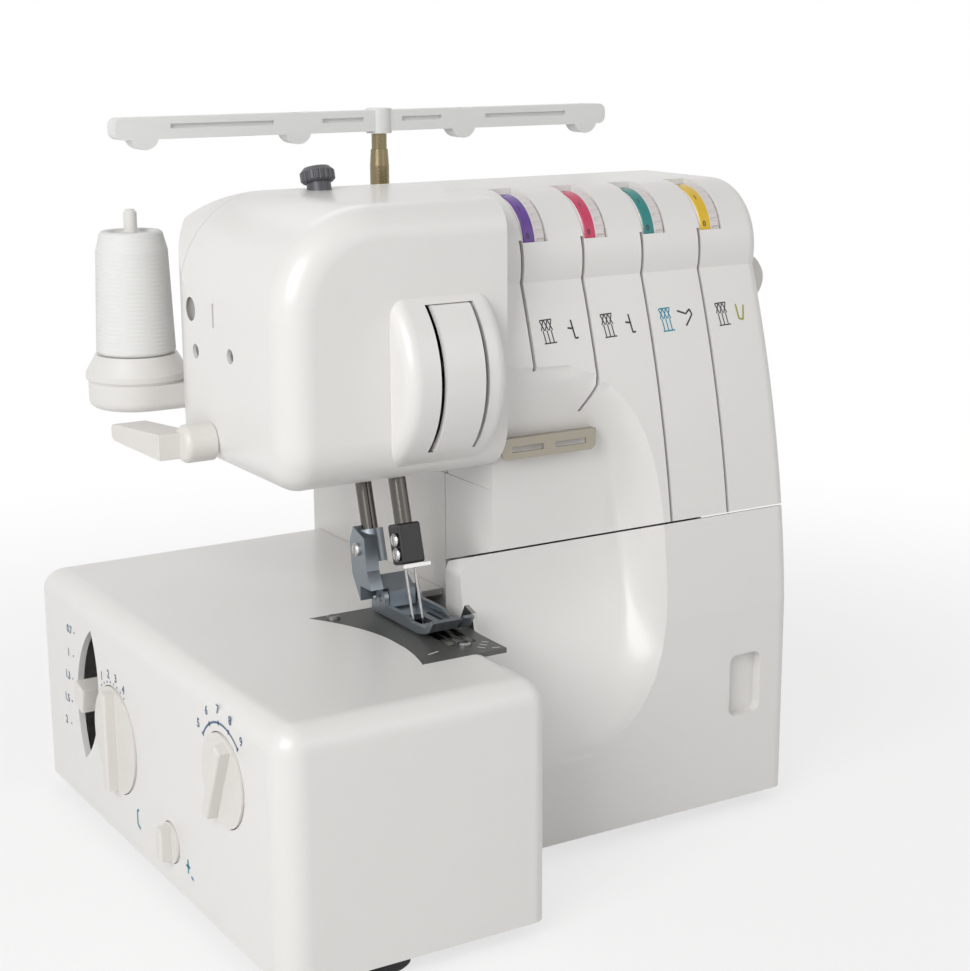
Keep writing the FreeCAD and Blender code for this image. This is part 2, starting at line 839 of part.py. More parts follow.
def take_up_cover():
    ring = tube(bulge_radius + 1, bulge_radius + 1 - wall, (slot_left + slot_gap, take_up_y, take_up_z),
                (slot_right - slot_gap, take_up_y, take_up_z))
    return ring.common(block(0, far, 0, take_up_y - bulge_radius / 2, take_up_low + loose,
                             take_up_high - loose))


def needle_plate():
    shape = plate_outline(0).extrude(V(0, 0, plate_sheet))
    shape.translate(V(0, 0, bed_height - plate_sheet))
    for start, end in (feed_front, feed_back):
        for row in feed_rows:
            shape = shape.cut(block(row - loose, row + feed_row_width + loose, start - feed_travel - loose,
                                    end + feed_travel + loose, 0, far))
    shape = shape.cut(block(needle_x - needle_gap, needle_x + needle_gap, needle_y - 3, needle_y + 3, 0,
                            far))
    for x, y in plate_screws:
        shape = shape.cut(rod(screw_head / 2, (x, y, 0), (x, y, far)))
    return shape


def screw(x, y, z, axis, length):
    """A slotted screw whose head lies on x, y, z and whose shank runs the other way from axis."""
    head = turned([(0, 0), (screw_head, 0), (screw_head, 1), (screw_head - 0.6, 1.6), (0, 1.6)], (x, y, z),
                  axis)
    shank = turned([(0, -length), (screw_head / 2, -length), (screw_head / 2, 0), (0, 0)], (x, y, z), axis)
    slot = Part.makeBox(2 * screw_head, 0.7, 1, V(-screw_head, -0.35, 1))
    slot.Placement = FreeCAD.Placement(V(x, y, z),
                                       FreeCAD.Rotation(V(0, 0, 1), V(*axis))).multiply(slot.Placement)
    return head.fuse(shank).cut(slot).removeSplitter()


def needle_plate_screws():
    return [screw(x, y, bed_height, (0, 0, 1), 2 * plate_sheet) for x, y in plate_screws]


def head_housing_screws():
    depth = head_frame_x + frame_thick - head_left - wall
    return [screw(head_left + wall, y, z, (-1, 0, 0), depth) for y, z in head_screws]


# Frame, shafts and drive

def frame_wall(x, back_low):
    top = dial_z + 10
    outline = [(128, plate_thickness), (128, bed_height), (112, bed_height + 20), (112, shaft_z - 26),
               (98, shaft_z), (98, top), (180, top), (198, shaft_z - 6), (198, bed_height),
               (back_low, bed_height - 16), (back_low, plate_thickness)]
    return prism_x(outline, x, x + frame_thick)


def main_frame():
    shape = frame_wall(frame_x0, 198).fuse(frame_wall(frame_x1, motor_y + motor_radius))
    beam = block(frame_x0, frame_x1 + frame_thick, 176, 186, bed_height, bed_height + 30)
    plate = block(head_frame_x, head_frame_x + 2 * wall + 2, 92, 168, lug_low, lug_high + lug_thick)
    lug_x0, lug_x1 = head_frame_x, 110
    low = block(lug_x0, lug_x1, 92, 134, lug_low, lug_low + lug_thick)
    high = block(lug_x0, lug_x1, 112, 168, lug_high, lug_high + lug_thick)
    neck = block(head_frame_x, frame_x0 + frame_thick, 158, 168, shaft_z - 44, shaft_z + 8)
    lug = block(take_up_lug_x, take_up_lug_x + 8, take_up_y - 7, 168, take_up_z - 8, take_up_z + 8)
    shape = shape.fuse([beam, plate, low, high, neck, lug])
    bore = shaft_radius + running + bush_wall
    holes = [
        rod(bore, (0, shaft_y, shaft_z), (far, shaft_y, shaft_z)),
        rod(bore, (frame_x0 - 1, main_y, main_z), (far, main_y, main_z)),
        rod(axle_radius, (frame_x0 - 1, dial_y, dial_z), (far, dial_y, dial_z)),
        rod(looper_shaft_radius, (frame_x1 - 1, motor_y, main_z), (far, motor_y, main_z)),
        rod(take_up_shaft + running, (take_up_lug_x - 1, take_up_y, take_up_z),
            (take_up_lug_x + 9, take_up_y, take_up_z)),
        rod(lifter_shaft + running, (0, lifter_y, lifter_z), (head_frame_x + 4 * wall, lifter_y, lifter_z)),
        leaning(rod(needle_bar_radius + running + bush_wall, (0, 0, lug_end - 20), (0, 0, knob_low + 20)),
                needle_x, needle_y),
        leaning(rod(presser_radius + running + bush_wall, (0, 0, lug_end - 20), (0, 0, lug_end + 11)),
                presser_x, presser_y),
        leaning(rod(knob_neck + running, (0, 0, knob_low - 10), (0, 0, knob_low + 25)), presser_x, presser_y),
    ]
    for y, z in head_screws:
        holes.append(rod(screw_head / 2, (head_frame_x - 1, y, z),
                         (head_frame_x + frame_thick + wall, y, z)))
    for hole in holes:
        shape = shape.cut(hole)
    return shape.removeSplitter()


def shaft_bushes():
    solids = []
    for x in (frame_x0, frame_x1):
        for y, z in ((shaft_y, shaft_z), (main_y, main_z)):
            solids.append(tube(shaft_radius + running + bush_wall, shaft_radius + running, (x, y, z),
                               (x + frame_thick, y, z)))
    return solids


def bar_bushes():
    solids = []
    for radius, x, y, height in ((needle_bar_radius, needle_x, needle_y, lug_low),
                                 (needle_bar_radius, needle_x, needle_y, lug_high),
                                 (presser_radius, presser_x, presser_y, lug_low)):
        start = (height - bed_height) / math.cos(math.radians(bar_lean))
        solids.append(leaning(tube(radius + running + bush_wall, radius + running, (0, 0, start),
                                   (0, 0, start + lug_thick)), x, y))
    return solids


def upper_shaft():
    return rod(shaft_radius, (crank_x + crank_thick, shaft_y, shaft_z), (wheel_end - 4, shaft_y, shaft_z))


def crank():
    disc = rod(crank_radius, (crank_x, shaft_y, shaft_z), (crank_x + crank_thick, shaft_y, shaft_z))
    pin_y = shaft_y - crank_throw
    return disc.fuse(rod(3, (crank_x - 2, pin_y, shaft_z), (crank_x, pin_y, shaft_z))).removeSplitter()


def handwheel():
    start = arm_right + 3
    length = wheel_end - start
    outline = [(shaft_radius, 0), (wheel_radius - 2, 0), (wheel_radius, 1.5), (wheel_radius, 5),
               (wheel_radius - 9, 13),
               (wheel_nose_radius + 1, 14), (wheel_nose_radius, 16), (wheel_nose_radius, length - 3),
               (wheel_nose_radius - 3, length),
               (0, length), (0, length - 4), (shaft_radius, length - 4)]
    shape = turned(outline, (start, shaft_y, shaft_z), (1, 0, 0))
    for index in range(grip_count):
        angle = 2 * math.pi * index / grip_count
        y = shaft_y + (wheel_radius + 2) * math.cos(angle)
        z = shaft_z + (wheel_radius + 2) * math.sin(angle)
        shape = shape.cut(rod(3.2, (start - 1, y, z), (start + 8, y, z)))
    return shape


def pulley(x, width, radius, bore, y, z):
    rim = 1.5
    body = tube(radius, bore, (x, y, z), (x + width, y, z))
    for side in (x - rim, x + width):
        body = body.fuse(tube(radius + belt_thick, bore, (side, y, z), (side + rim, y, z)))
    return body.removeSplitter()


def belt(x, width, y1, z1, radius1, y2, z2, radius2):
    """A flat belt round two pulleys, with a little room on their rims."""
    def loop(extra):
        span = math.hypot(y2 - y1, z2 - z1)
        lean = math.acos((radius1 - radius2) / span)
        along = math.atan2(z2 - z1, y2 - y1)
        points = []
        for y, z, radius, sides in ((y1, z1, radius1, (1, -1)), (y2, z2, radius2, (-1, 1))):
            for side in sides:
                angle = along + side * lean
                points.append((y + (radius + extra) * math.cos(angle),
                               z + (radius + extra) * math.sin(angle)))
        form = prism_x(points, x, x + width)
        ends = [rod(radius + extra, (x, y, z), (x + width, y, z)) for y, z,
                radius in ((y1, z1, radius1), (y2, z2, radius2))]
        return form.fuse(ends)
    return loop(loose + belt_thick).cut(loop(loose)).removeSplitter()


def main_shaft():
    shape = rod(shaft_radius, (bed_width + 8, main_y, main_z), (timing_x + timing_width + 4, main_y, main_z))
    for x, side in ((bed_width + 10, 1), (bed_width + 20, -1)):
        shape = shape.fuse(rod(10, (x, main_y, main_z + 3 * side), (x + 7, main_y, main_z + 3 * side)))
    return shape.removeSplitter()


def motor():
    body = rod(motor_radius, (motor_x0, motor_y, main_z), (frame_x1, motor_y, main_z))
    body = round_edges(body, 4, lambda edge: edge.Closed and middle(edge).x < motor_x0 + 1)
    saddle = block(motor_x0 + 12, frame_x1 - 12, motor_y - 18, motor_y + 18, plate_thickness, main_z)
    return body.fuse(saddle).removeSplitter()


def motor_pulley():
    wheel = pulley(drive_x, drive_width, motor_pulley_radius, 0.5, motor_y, main_z)
    return wheel.fuse(rod(3, (frame_x1 + loose, motor_y, main_z),
                          (drive_x + drive_width + 4, motor_y, main_z))).removeSplitter()


# Needle bar, presser bar and foot

def needle_bar():
    bar = rod(needle_bar_radius, (0, 0, needle_free + 12), (0, 0, needle_bar_top))
    stud_ring = rod(needle_bar_radius + 2.2, (0, 0, stud_low), (0, 0, stud_low + 12))
    stud = rod(2.5, (0, 0, stud_low + 6), (crank_x - needle_x - 2.4, 0, stud_low + 6))
    return leaning(bar.fuse([stud_ring, stud]).removeSplitter(), needle_x, needle_y)


def needle_link():
    """The flat link between the needle bar's stud and the crank pin."""
    low_y = needle_y + (stud_low + 6) * math.sin(math.radians(bar_lean))
    low_z = bed_height + (stud_low + 6) * math.cos(math.radians(bar_lean))
    high_y, high_z = shaft_y - crank_throw, shaft_z
    x0, x1 = crank_x - 6, crank_x - 2.4
    along = V(0, high_y - low_y, high_z - low_z).normalize()
    side = V(0, along.z, -along.y)
    ends = [V(x0, low_y, low_z), V(x0, high_y, high_z)]
    points = [ends[0] + side * 3, ends[1] + side * 3, ends[1] - side * 3, ends[0] - side * 3]
    shape = prism([(p.x, p.y, p.z) for p in points], (x1 - x0, 0, 0))
    for end in ends:
        shape = shape.fuse(rod(5.5, tuple(end), (x1, end.y, end.z)))
    return shape.cut(rod(2.5, (0, low_y, low_z), (far, low_y, low_z))).cut(rod(3, (0, high_y, high_z),
                                                                               (far, high_y, high_z)))


def needle_clamp():
    half_x, half_y = clamp_width / 2, clamp_depth / 2
    body = block(-half_x, half_x, -half_y, half_y, needle_free, needle_free + clamp_height)
    body = round_edges(body, 1.2, lambda edge: True)
    foot = block(-half_x - 0.8, half_x + 1.6, -half_y - 0.8, -half_y + 6, needle_free - 1.6,
                 needle_free - 0.2)
    shape = body.fuse(foot.fuse(block(-half_x + 1, half_x - 1, -half_y + 1, -half_y + 5, needle_free - 0.4,
                                      needle_free + 1)))
    for side in (-1, 1):
        shape = shape.cut(rod(needle_radius, (side * needle_gap / 2, 0, 0),
                              (side * needle_gap / 2, 0, needle_free + 11)))
    shape = shape.cut(rod(needle_bar_radius, (0, 0, needle_free + 12), (0, 0, far)))
    for height in clamp_screw_heights:
        shape = shape.cut(rod(screw_head / 2, (-half_x - 1, -1.5, needle_free + height),
                              (clamp_screw_depth - half_x, -1.5, needle_free + height)))
    return leaning(shape.removeSplitter(), needle_x, needle_y)


def needles():
    solids = []
    for side in (-1, 1):
        shaft = turned([(0, 0), (needle_radius, 4), (needle_radius, needle_free + 11),
                        (0, needle_free + 11)],
                       (side * needle_gap / 2, 0, 0), (0, 0, 1))
        solids.append(leaning(shaft, needle_x, needle_y))
    return solids


def clamp_screws():
    return [leaning(screw(-clamp_width / 2, -1.5, needle_free + height, (-1, 0, 0), clamp_screw_depth),
                    needle_x, needle_y)
            for height in clamp_screw_heights]


def presser_bar():
    """The bar that carries the foot, with a collar for the spring. When lifted it ends just below the knob."""
    bar = rod(presser_radius, (0, 0, presser_low), (0, 0, presser_top))
    collar = rod(presser_radius + 2.5, (0, 0, collar_low), (0, 0, collar_low + 6))
    return leaning(bar.fuse(collar).removeSplitter(), presser_x, presser_y)


def presser_spring():
    start = collar_low + 6 + presser_travel + loose
    return leaning(tube(presser_radius + loose + 2, presser_radius + loose, (0, 0, start),
                        (0, 0, knob_low - loose)), presser_x, presser_y)


def pressure_knob():
    top = (top_z() - bed_height) / math.cos(math.radians(bar_lean))
    outline = [(0, knob_low + 22), (presser_radius + loose, knob_low + 22),
               (presser_radius + loose, knob_low), (knob_neck, knob_low),
               (knob_neck, top + 3), (knob_radius - 1, top + 3), (knob_radius, top + 4),
               (knob_radius, top + 7.5),
               (knob_radius - 2, top + 9.5), (0, top + 10)]
    shape = turned(outline, (0, 0, 0), (0, 0, 1))
    for index in range(knurl_count):
        angle = 2 * math.pi * index / knurl_count
        x, y = (knob_radius + 0.3) * math.cos(angle), (knob_radius + 0.3) * math.sin(angle)
        shape = shape.cut(rod(0.7, (x, y, top + 2), (x, y, top + 12)))
    return leaning(shape, presser_x, presser_y)


def foot_holder():
    """The ankle: a plate on the left of the presser bar's end, with an arm that carries the foot's pin."""
    outline = [(ankle_y - 3, ankle_z - 3.5), (ankle_y + 6, ankle_z - 3.5), (ankle_y + 14, ankle_z + 8),
               (ankle_y + 16, ankle_z + 22),
               (ankle_y + 13, ankle_z + 29), (ankle_y + 3, ankle_z + 26), (ankle_y + 1, ankle_z + 12),
               (ankle_y - 3, ankle_z + 3.5)]
    plate = prism_x(outline, presser_x - 7, presser_x - 1)
    arm_form = prism_x([(ankle_y - 4, ankle_z - 3.5), (ankle_y + 6, ankle_z - 3.5),
                        (ankle_y + 9, ankle_z + 4), (ankle_y + 4, ankle_z + 9),
                        (ankle_y - 4, ankle_z + 3.5)], presser_x - 7, foot_x1 - 5)
    socket = leaning(rod(presser_radius + 2, (0, 0, presser_low - 6), (0, 0, presser_low + 8)), presser_x,
                     presser_y)
    shape = plate.fuse([arm_form, socket])
    shape = shape.cut(leaning(rod(presser_radius, (0, 0, presser_low), (0, 0, far)), presser_x, presser_y))
    shape = shape.cut(block(0, foot_x0 + ear_width + loose, 0, ankle_y + 7, 0, ankle_z + 4.5))
    pin = rod(ankle_radius, (foot_x0 + 0.5, ankle_y, ankle_z), (foot_x1 - 2.5, ankle_y, ankle_z))
    return shape.fuse(pin).removeSplitter()


def presser_foot():
    """Flat sole with a turned-up toe, a raised left side, a needle opening and two ears on the ankle pin."""
    top = sole_low + sole_thick
    toe = [(sole_front + 13, sole_low), (sole_back, sole_low), (sole_back, top), (sole_front + 13, top),
           (sole_front + 6, top + 1.6),
           (sole_front + 1.5, top + 5.6), (sole_front - 0.5, top + 5), (sole_front + 3, top + 0.4),
           (sole_front + 8, sole_low + 0.8)]
    shape = prism_x(toe, foot_x0, foot_x1)
    side = [(sole_front + 6, top - 1), (sole_back, top - 1), (sole_back, top + 2.5),
            (sole_front + 24, top + 2.5),
            (sole_front + 18, top + 1), (sole_front + 6, top + 1.6)]
    shape = shape.fuse(prism_x(side, foot_x0, foot_x0 + ear_width))
    shape = shape.fuse(prism_x(side[1:5], foot_x1 - ear_width, foot_x1))
    for x in (foot_x0, foot_x1 - 2 - ear_width):
        ear = block(x, x + ear_width, ankle_y - 4, ankle_y + 4, top - 1, ankle_z)
        shape = shape.fuse([ear, rod(4, (x, ankle_y, ankle_z), (x + ear_width, ankle_y, ankle_z))])
    shape = shape.cut(block(needle_x - 0.75 * needle_gap, needle_x + needle_gap, needle_y - 5, needle_y + 8,
                            0, far))
    shape = shape.cut(block(foot_x1 - 6.5, foot_x1 - 4.5, 0, needle_y + 8, 0, far))
    shape = shape.cut(rod(ankle_radius + running, (0, ankle_y, ankle_z), (far, ankle_y, ankle_z)))
    return shape.removeSplitter()


def foot_screw():
    return screw(presser_x - 7, ankle_y + 9, ankle_z + 20, (-1, 0, 0), 3)


def presser_lifter():
    """A round hub beside the head, a paddle that points back, and a shaft with a lifting cam in the head."""
    hub = rod(lifter_hub, (lifter_outer, lifter_y, lifter_z), (head_left - loose, lifter_y, lifter_z))
    hub = round_edges(hub, 3, lambda edge: edge.Closed and middle(edge).x < lifter_outer + 1)
    x0, x1 = lifter_outer - 9, lifter_outer - 9 + lifter_width
    paddle = prism_x([(lifter_y, lifter_z - 6), (lifter_tip, lifter_z - 7), (lifter_tip, lifter_z),
                      (lifter_y, lifter_z + 5)], x0, x1)
    paddle = round_edges(paddle, 3,
                         lambda edge: middle(edge).y > lifter_tip - 1 and edge.BoundBox.XLength > 1)
    root = prism_z([(x0 - 1, lifter_y - 12), (lifter_outer + 12, lifter_y - 12),
                    (lifter_outer + 12, lifter_y), (x1, lifter_y + 22), (x1, far),
                    (x0 + 4, far), (x0, lifter_y + 30)], 0, far)
    paddle = paddle.common(root)
    shaft = rod(lifter_shaft, (lifter_outer + 4, lifter_y, lifter_z),
                (head_frame_x + 14, lifter_y, lifter_z))
    cam = rod(6, (head_frame_x + 10, lifter_y - 1.5, lifter_z),
              (head_frame_x + 14, lifter_y - 1.5, lifter_z))
    return hub.fuse([paddle, shaft, cam]).removeSplitter()


# Take-up, tension and the pieces under the needle plate

def take_up_lever():
    shaft = rod(take_up_shaft, (slot_left - 2, take_up_y, take_up_z),
                (take_up_lug_x + 10, take_up_y, take_up_z))
    solids = [shaft]
    for x in (slot_left + 0.4, slot_right - slot_gap + 0.4):
        hub = rod(5.5, (x - 1, take_up_y, take_up_z), (x + 2.6, take_up_y, take_up_z))
        tip_y = take_up_y - take_up_reach
        arm_form = prism_x([(take_up_y, take_up_z - 4), (take_up_y, take_up_z + 4), (tip_y, take_up_z + 2.5),
                            (tip_y, take_up_z - 2.5)], x, x + 1.6)
        eye = rod(1, (x - 1, tip_y + 2.5, take_up_z), (x + 3, tip_y + 2.5, take_up_z))
        solids += [hub, arm_form.cut(eye)]
    return solids[0].fuse(solids[1:]).removeSplitter()


def tension_axle():
    return rod(axle_radius, (frame_x0, dial_y, dial_z), (arm_right - 2 * wall, dial_y, dial_z))


def tension_dial(index):
    x = dial_x(index) + slot_width / 2 + loose
    rim = 1.2
    outline = [(axle_radius + running, 0), (dial_radius - rim, 0), (dial_radius, rim),
               (dial_radius, dial_width - rim), (dial_radius - rim, dial_width),
               (axle_radius + running, dial_width)]
    shape = turned(outline, (x, dial_y, dial_z), (1, 0, 0))
    for step in range(dial_ribs):
        angle = 2 * math.pi * step / dial_ribs
        y, z = dial_y + (dial_radius + 0.4) * math.cos(angle), dial_z + (dial_radius + 0.4) * math.sin(angle)
        shape = shape.cut(rod(0.9, (x + dial_width * 0.6, y, z), (x + dial_width + 1, y, z)))
    return shape


def tension_discs():
    solids = []
    for index in range(dial_count):
        for x in (dial_x(index) - 2.4, dial_x(index) - 0.9):
            solids.append(tube(disc_radius, axle_radius, (x, dial_y, dial_z),
                               (x + disc_thick, dial_y, dial_z)))
    return solids


def looper(pivot_x, y, points):
    """A flat curved looper on a hub, drawn in the x, z plane by its centre line."""
    hub = rod(looper_shaft_radius + 3, (pivot_x, y, looper_z), (pivot_x, y + looper_thick + 3, looper_z))
    shape = hub
    for (x1, z1), (x2, z2) in zip(points, points[1:]):
        along = V(x2 - x1, 0, z2 - z1).normalize()
        side = V(-along.z, 0, along.x) * 2.2
        start, end = V(x1, y, z1), V(x2, y, z2)
        corners = [start + side, end + side, end - side, start - side]
        shape = shape.fuse(prism([(p.x, p.y, p.z) for p in corners], (0, looper_thick, 0)))
        shape = shape.fuse(rod(2.2, (x2, y, z2), (x2, y + looper_thick, z2)))
    return shape.cut(rod(looper_shaft_radius, (pivot_x, y - 1, looper_z),
                         (pivot_x, y + 20, looper_z))).removeSplitter()


def lower_looper():
    x = lower_looper_x
    return looper(x, lower_looper_y,
                  [(x, looper_z), (x - 2, looper_z + 25), (x - 7, looper_z + 42), (x - 14, looper_z + 47)])


def upper_looper():
    x = upper_looper_x
    return looper(x, upper_looper_y,
                  [(x, looper_z), (x + 6, looper_z + 28), (x + 7, looper_z + 42), (x + 2, looper_z + 47)])


def looper_shaft(x, y):
    return rod(looper_shaft_radius, (x, y - 3, looper_z), (x, looper_shaft_back, looper_z))


def looper_bracket():
    """Stands on the base plate and carries both looper shafts and the knife's pivot."""
    y0 = looper_shaft_back - 20
    x0, x1 = upper_looper_x - 9, lower_looper_x + 9
    shape = block(x0, x1, y0, y0 + 12, plate_thickness, looper_z + 9)
    post = block(knife_x + knife_thick + loose, knife_x + knife_thick + 8, y0, y0 + 12, plate_thickness,
                 knife_pivot_z + 7)
    shape = shape.fuse(post)
    for x in (lower_looper_x, upper_looper_x):
        shape = shape.cut(rod(looper_shaft_radius + running, (x, 0, looper_z), (x, far, looper_z)))
    return shape.fuse(rod(3, (knife_x - 2, knife_pivot_y + 6, knife_pivot_z),
                          (knife_x + 9, knife_pivot_y + 6, knife_pivot_z))).removeSplitter()


def upper_knife():
    pivot_y = knife_pivot_y + 6
    x0, x1 = knife_x, knife_x + knife_thick
    arm_form = prism_x([(pivot_y, knife_pivot_z - 5), (pivot_y, knife_pivot_z + 5), (82, 97), (76, 108),
                        (70, 106), (68, 98), (76, 90)], x0, x1)
    shape = arm_form.fuse(rod(6, (x0, pivot_y, knife_pivot_z), (x1, pivot_y, knife_pivot_z)))
    return shape.cut(rod(3 + running, (0, pivot_y, knife_pivot_z),
                         (far, pivot_y, knife_pivot_z))).removeSplitter()


def lower_knife():
    return prism_x([(62, 70), (74, 70), (74, bed_height), (62, bed_height - 1)], plate_right + 0.5,
                   knife_x - loose)


def feed_dog(span, bar_z):
    start, end = span
    shape = block(feed_x0, feed_x1, start, end, bar_z, bar_z + 3)
    for row in feed_rows:
        comb = block(row, row + feed_row_width, start, end, bar_z + 2, bed_height - 0.6)
        teeth = int((end - start) / 2)
        pitch = (end - start) / teeth
        for tooth in range(teeth):
            y = start + tooth * pitch
            comb = comb.fuse(prism_x([(y, bed_height - 0.6), (y + pitch, bed_height - 0.6),
                                      (y + pitch * 0.7, bed_height + 0.3)], row, row + feed_row_width))
        shape = shape.fuse(comb)
    return shape


def main_feed_dog():
    bar = block(feed_x1 - feed_bar_width, feed_x1, feed_back[0], feed_bar_back, bed_height - 9,
                bed_height - 6)
    return feed_dog(feed_back, bed_height - 9).fuse(bar).removeSplitter()


def differential_feed_dog():
    low = bed_height - 13
    bar = block(feed_x1 - feed_bar_width, feed_x1, feed_front[0], feed_bar_back, low, low + 3)
    post = block(feed_x1 - feed_bar_width, feed_x1, *feed_front, low, bed_height - 8)
    return feed_dog(feed_front, bed_height - 9).fuse([bar, post]).removeSplitter()


def feed_guide():
    """Block under the bed's top that the two feed bars slide through."""
    y0, y1 = feed_bar_back - 16, feed_bar_back - 8
    shape = block(feed_x0, feed_x1 + 4, y0, y1, bed_height - 17, bed_height - wall)
    for low in (bed_height - 9, bed_height - 13):
        shape = shape.cut(block(feed_x1 - feed_bar_width - running, feed_x1 + running, 0, far, low - running,
                                low + 3 + running))
    return shape


# Controls on the left face

def control_dial(y, z, radius, rib_lean):
    """A flat dial let into the left face, with a finger rib across it and a shaft to the bracket."""
    disc = rod(radius, (-1, y, z), (control_depth, y, z))
    rib = block(-control_reach, 0, y - 2.6, y + 2.6, z - radius + 1.5, z + radius - 1.5)
    rib = round_edges(rib, 1.2, lambda edge: edge.BoundBox.XMax < 0)
    rib.rotate(V(0, y, z), V(1, 0, 0), rib_lean)
    shaft = rod(control_shaft, (control_depth, y, z), (bracket_x + bracket_thick + 3, y, z))
    return disc.fuse([rib, shaft]).removeSplitter()


def differential_lever():
    y, z = differential
    knob = block(-5, bracket_x - 2, y - 5, y + 5, z - 5.5, z + 5.5)
    knob = round_edges(knob, 1.5, lambda edge: edge.BoundBox.XMax < 0)
    stem = block(bracket_x - 2, bracket_x + bracket_thick + 3, y - 3, y + 3, z - 4, z + 4)
    shape = knob.fuse(stem).removeSplitter()
    shape.rotate(V(0, y, z), V(1, 0, 0), differential_turn)
    return shape


def dial_bracket():
    shape = block(bracket_x, bracket_x + bracket_thick, 30, 222, plate_thickness, bed_height - 12)
    shape = shape.fuse(block(bracket_x, bracket_x + 14, 30, 222, plate_thickness, 2 * plate_thickness))
    for y, z, radius in (length_dial, width_dial, hem_dial):
        shape = shape.cut(rod(control_shaft + running, (0, y, z), (bracket_x + 20, y, z)))
    y, z = differential
    room = differential_travel + 4 + loose
    slot = block(0, bracket_x + bracket_thick + 1, y - 3 - running, y + 3 + running, z - room, z + room)
    slot.rotate(V(0, y, z), V(1, 0, 0), differential_turn)
    return shape.cut(slot).removeSplitter()


# Thread stand

def pin_places():
    return [(pole_x + pin_pitch * step, stand_y) for step in (-1.5, -0.5, 0.5, 1.5)]


def spool_stand():
    left, right = pin_places()[0][0], pin_places()[-1][0]
    low, high = shelf_z, shelf_z + stand_thick
    bar = block(left, right, stand_y - stand_radius, stand_y + stand_radius, low, high)
    ends = [rod(stand_radius, (x, stand_y, low), (x, stand_y, high)) for x in (left, right)]
    shape = bar.fuse(ends).removeSplitter()
    shape = round_edges(shape, 4, lambda edge: edge.BoundBox.ZMax < low + 0.01)
    for x, y in pin_places():
        shape = shape.cut(rod(pin_base_radius, (x, y, low + 3), (x, y, far)))
    return shape.cut(rod(pole_radius, (pole_x, pole_y, low + 2), (pole_x, pole_y, far)))


def spool_pins():
    low = shelf_z + 3
    step = shelf_z + stand_thick + cone_height - low
    outline = [(0, 0), (pin_base_radius, 0), (pin_base_radius, step), (pin_radius, step),
               (pin_radius, pin_top - low - 1.5),
               (pin_radius - 1.2, pin_top - low), (0, pin_top - low)]
    return [turned(outline, (x, y, low), (0, 0, 1)) for x, y in pin_places()]


def cone_holders():
    bore = pin_base_radius
    outline = [(bore, 0), (cone_radius - 1, 0), (cone_radius, 1.5), (cone_radius, 4),
               (thread_low_radius + 0.4, cone_height), (bore, cone_height)]
    return [turned(outline, (x, y, shelf_z + stand_thick), (0, 0, 1)) for x, y in pin_places()]


def spool_core():
    x, y = pin_places()[0]
    bore = pin_radius + running
    start = shelf_z + stand_thick + cone_height + loose
    outline = [(bore, 0), (core_radius, 0), (core_radius, thread_top - start - 1),
               (bore, thread_top - start - 1)]
    return turned(outline, (x, y, start), (0, 0, 1))


def thread_package():
    x, y = pin_places()[0]
    start = shelf_z + stand_thick + cone_height + loose
    outline = [(core_radius, 0), (thread_low_radius - 1, 0), (thread_low_radius, 1.2),
               (thread_high_radius, thread_shoulder - start),
               (thread_top_radius + 0.6, thread_top - start - 1),
               (thread_top_radius - 0.8, thread_top - start), (core_radius, thread_top - start)]
    return turned(outline, (x, y, start), (0, 0, 1))


def pole_lower():
    low = shelf_z + 2
    bore = pole_radius - pole_wall
    neck = 7.5
    outline = [(bore, 0), (pole_radius, 0), (pole_radius, pole_top - low - neck),
               (pole_radius - 0.5, pole_top - low), (bore, pole_top - low)]
    return turned(outline, (pole_x, pole_y, low), (0, 0, 1))


def pole_middle():
    radius = pole_radius - pole_wall - running
    low = shelf_z + 5
    return tube(radius, radius - pole_wall, (pole_x, pole_y, low), (pole_x, pole_y, guide_low - 1.4))


def pole_top_rod():
    low = shelf_z + stand_thick + 2
    return rod(rod_radius, (pole_x, pole_y, low), (pole_x, pole_y, guide_high - 2))


def guide_bar():
    """The thread guide: a channelled bar with four eyes below it and a hub on the pole."""
    half_y = guide_thick / 2
    bar = block(pole_x - guide_left, pole_x + guide_right, pole_y - half_y, pole_y + half_y, guide_low,
                guide_high)
    bar = round_edges(bar, 3.5, lambda edge: edge.BoundBox.YLength > 1)
    left_far, left_near, right_near, right_far = guide_eyes
    left_spans = ((left_far + 12, left_near - 12), (left_near + 12, -10))
    right_spans = ((10, right_near - 12), (right_near + 12, right_far - 12))
    for start, end in left_spans + right_spans:
        bar = bar.cut(block(pole_x + start, pole_x + end, 0, pole_y - half_y + 2, guide_high - 5,
                            guide_high - 3))
        bar = bar.cut(block(pole_x + start, pole_x + end, pole_y + half_y - 2, far, guide_high - 5,
                            guide_high - 3))
    for offset in guide_eyes:
        x = pole_x + offset
        lobe = rod(hook_radius, (x, pole_y - half_y, guide_low + 2), (x, pole_y + half_y, guide_low + 2))
        bar = bar.fuse(lobe)
    hub = rod(6, (pole_x, pole_y, guide_low - 1), (pole_x, pole_y, guide_high + 0.8))
    bar = bar.fuse(hub)
    for offset in guide_eyes:
        bar = bar.cut(rod(1.8, (pole_x + offset, pole_y, 0), (pole_x + offset, pole_y, far)))
    socket = rod_radius + running
    return bar.cut(rod(socket, (pole_x, pole_y, 0), (pole_x, pole_y, guide_high - 2))).removeSplitter()


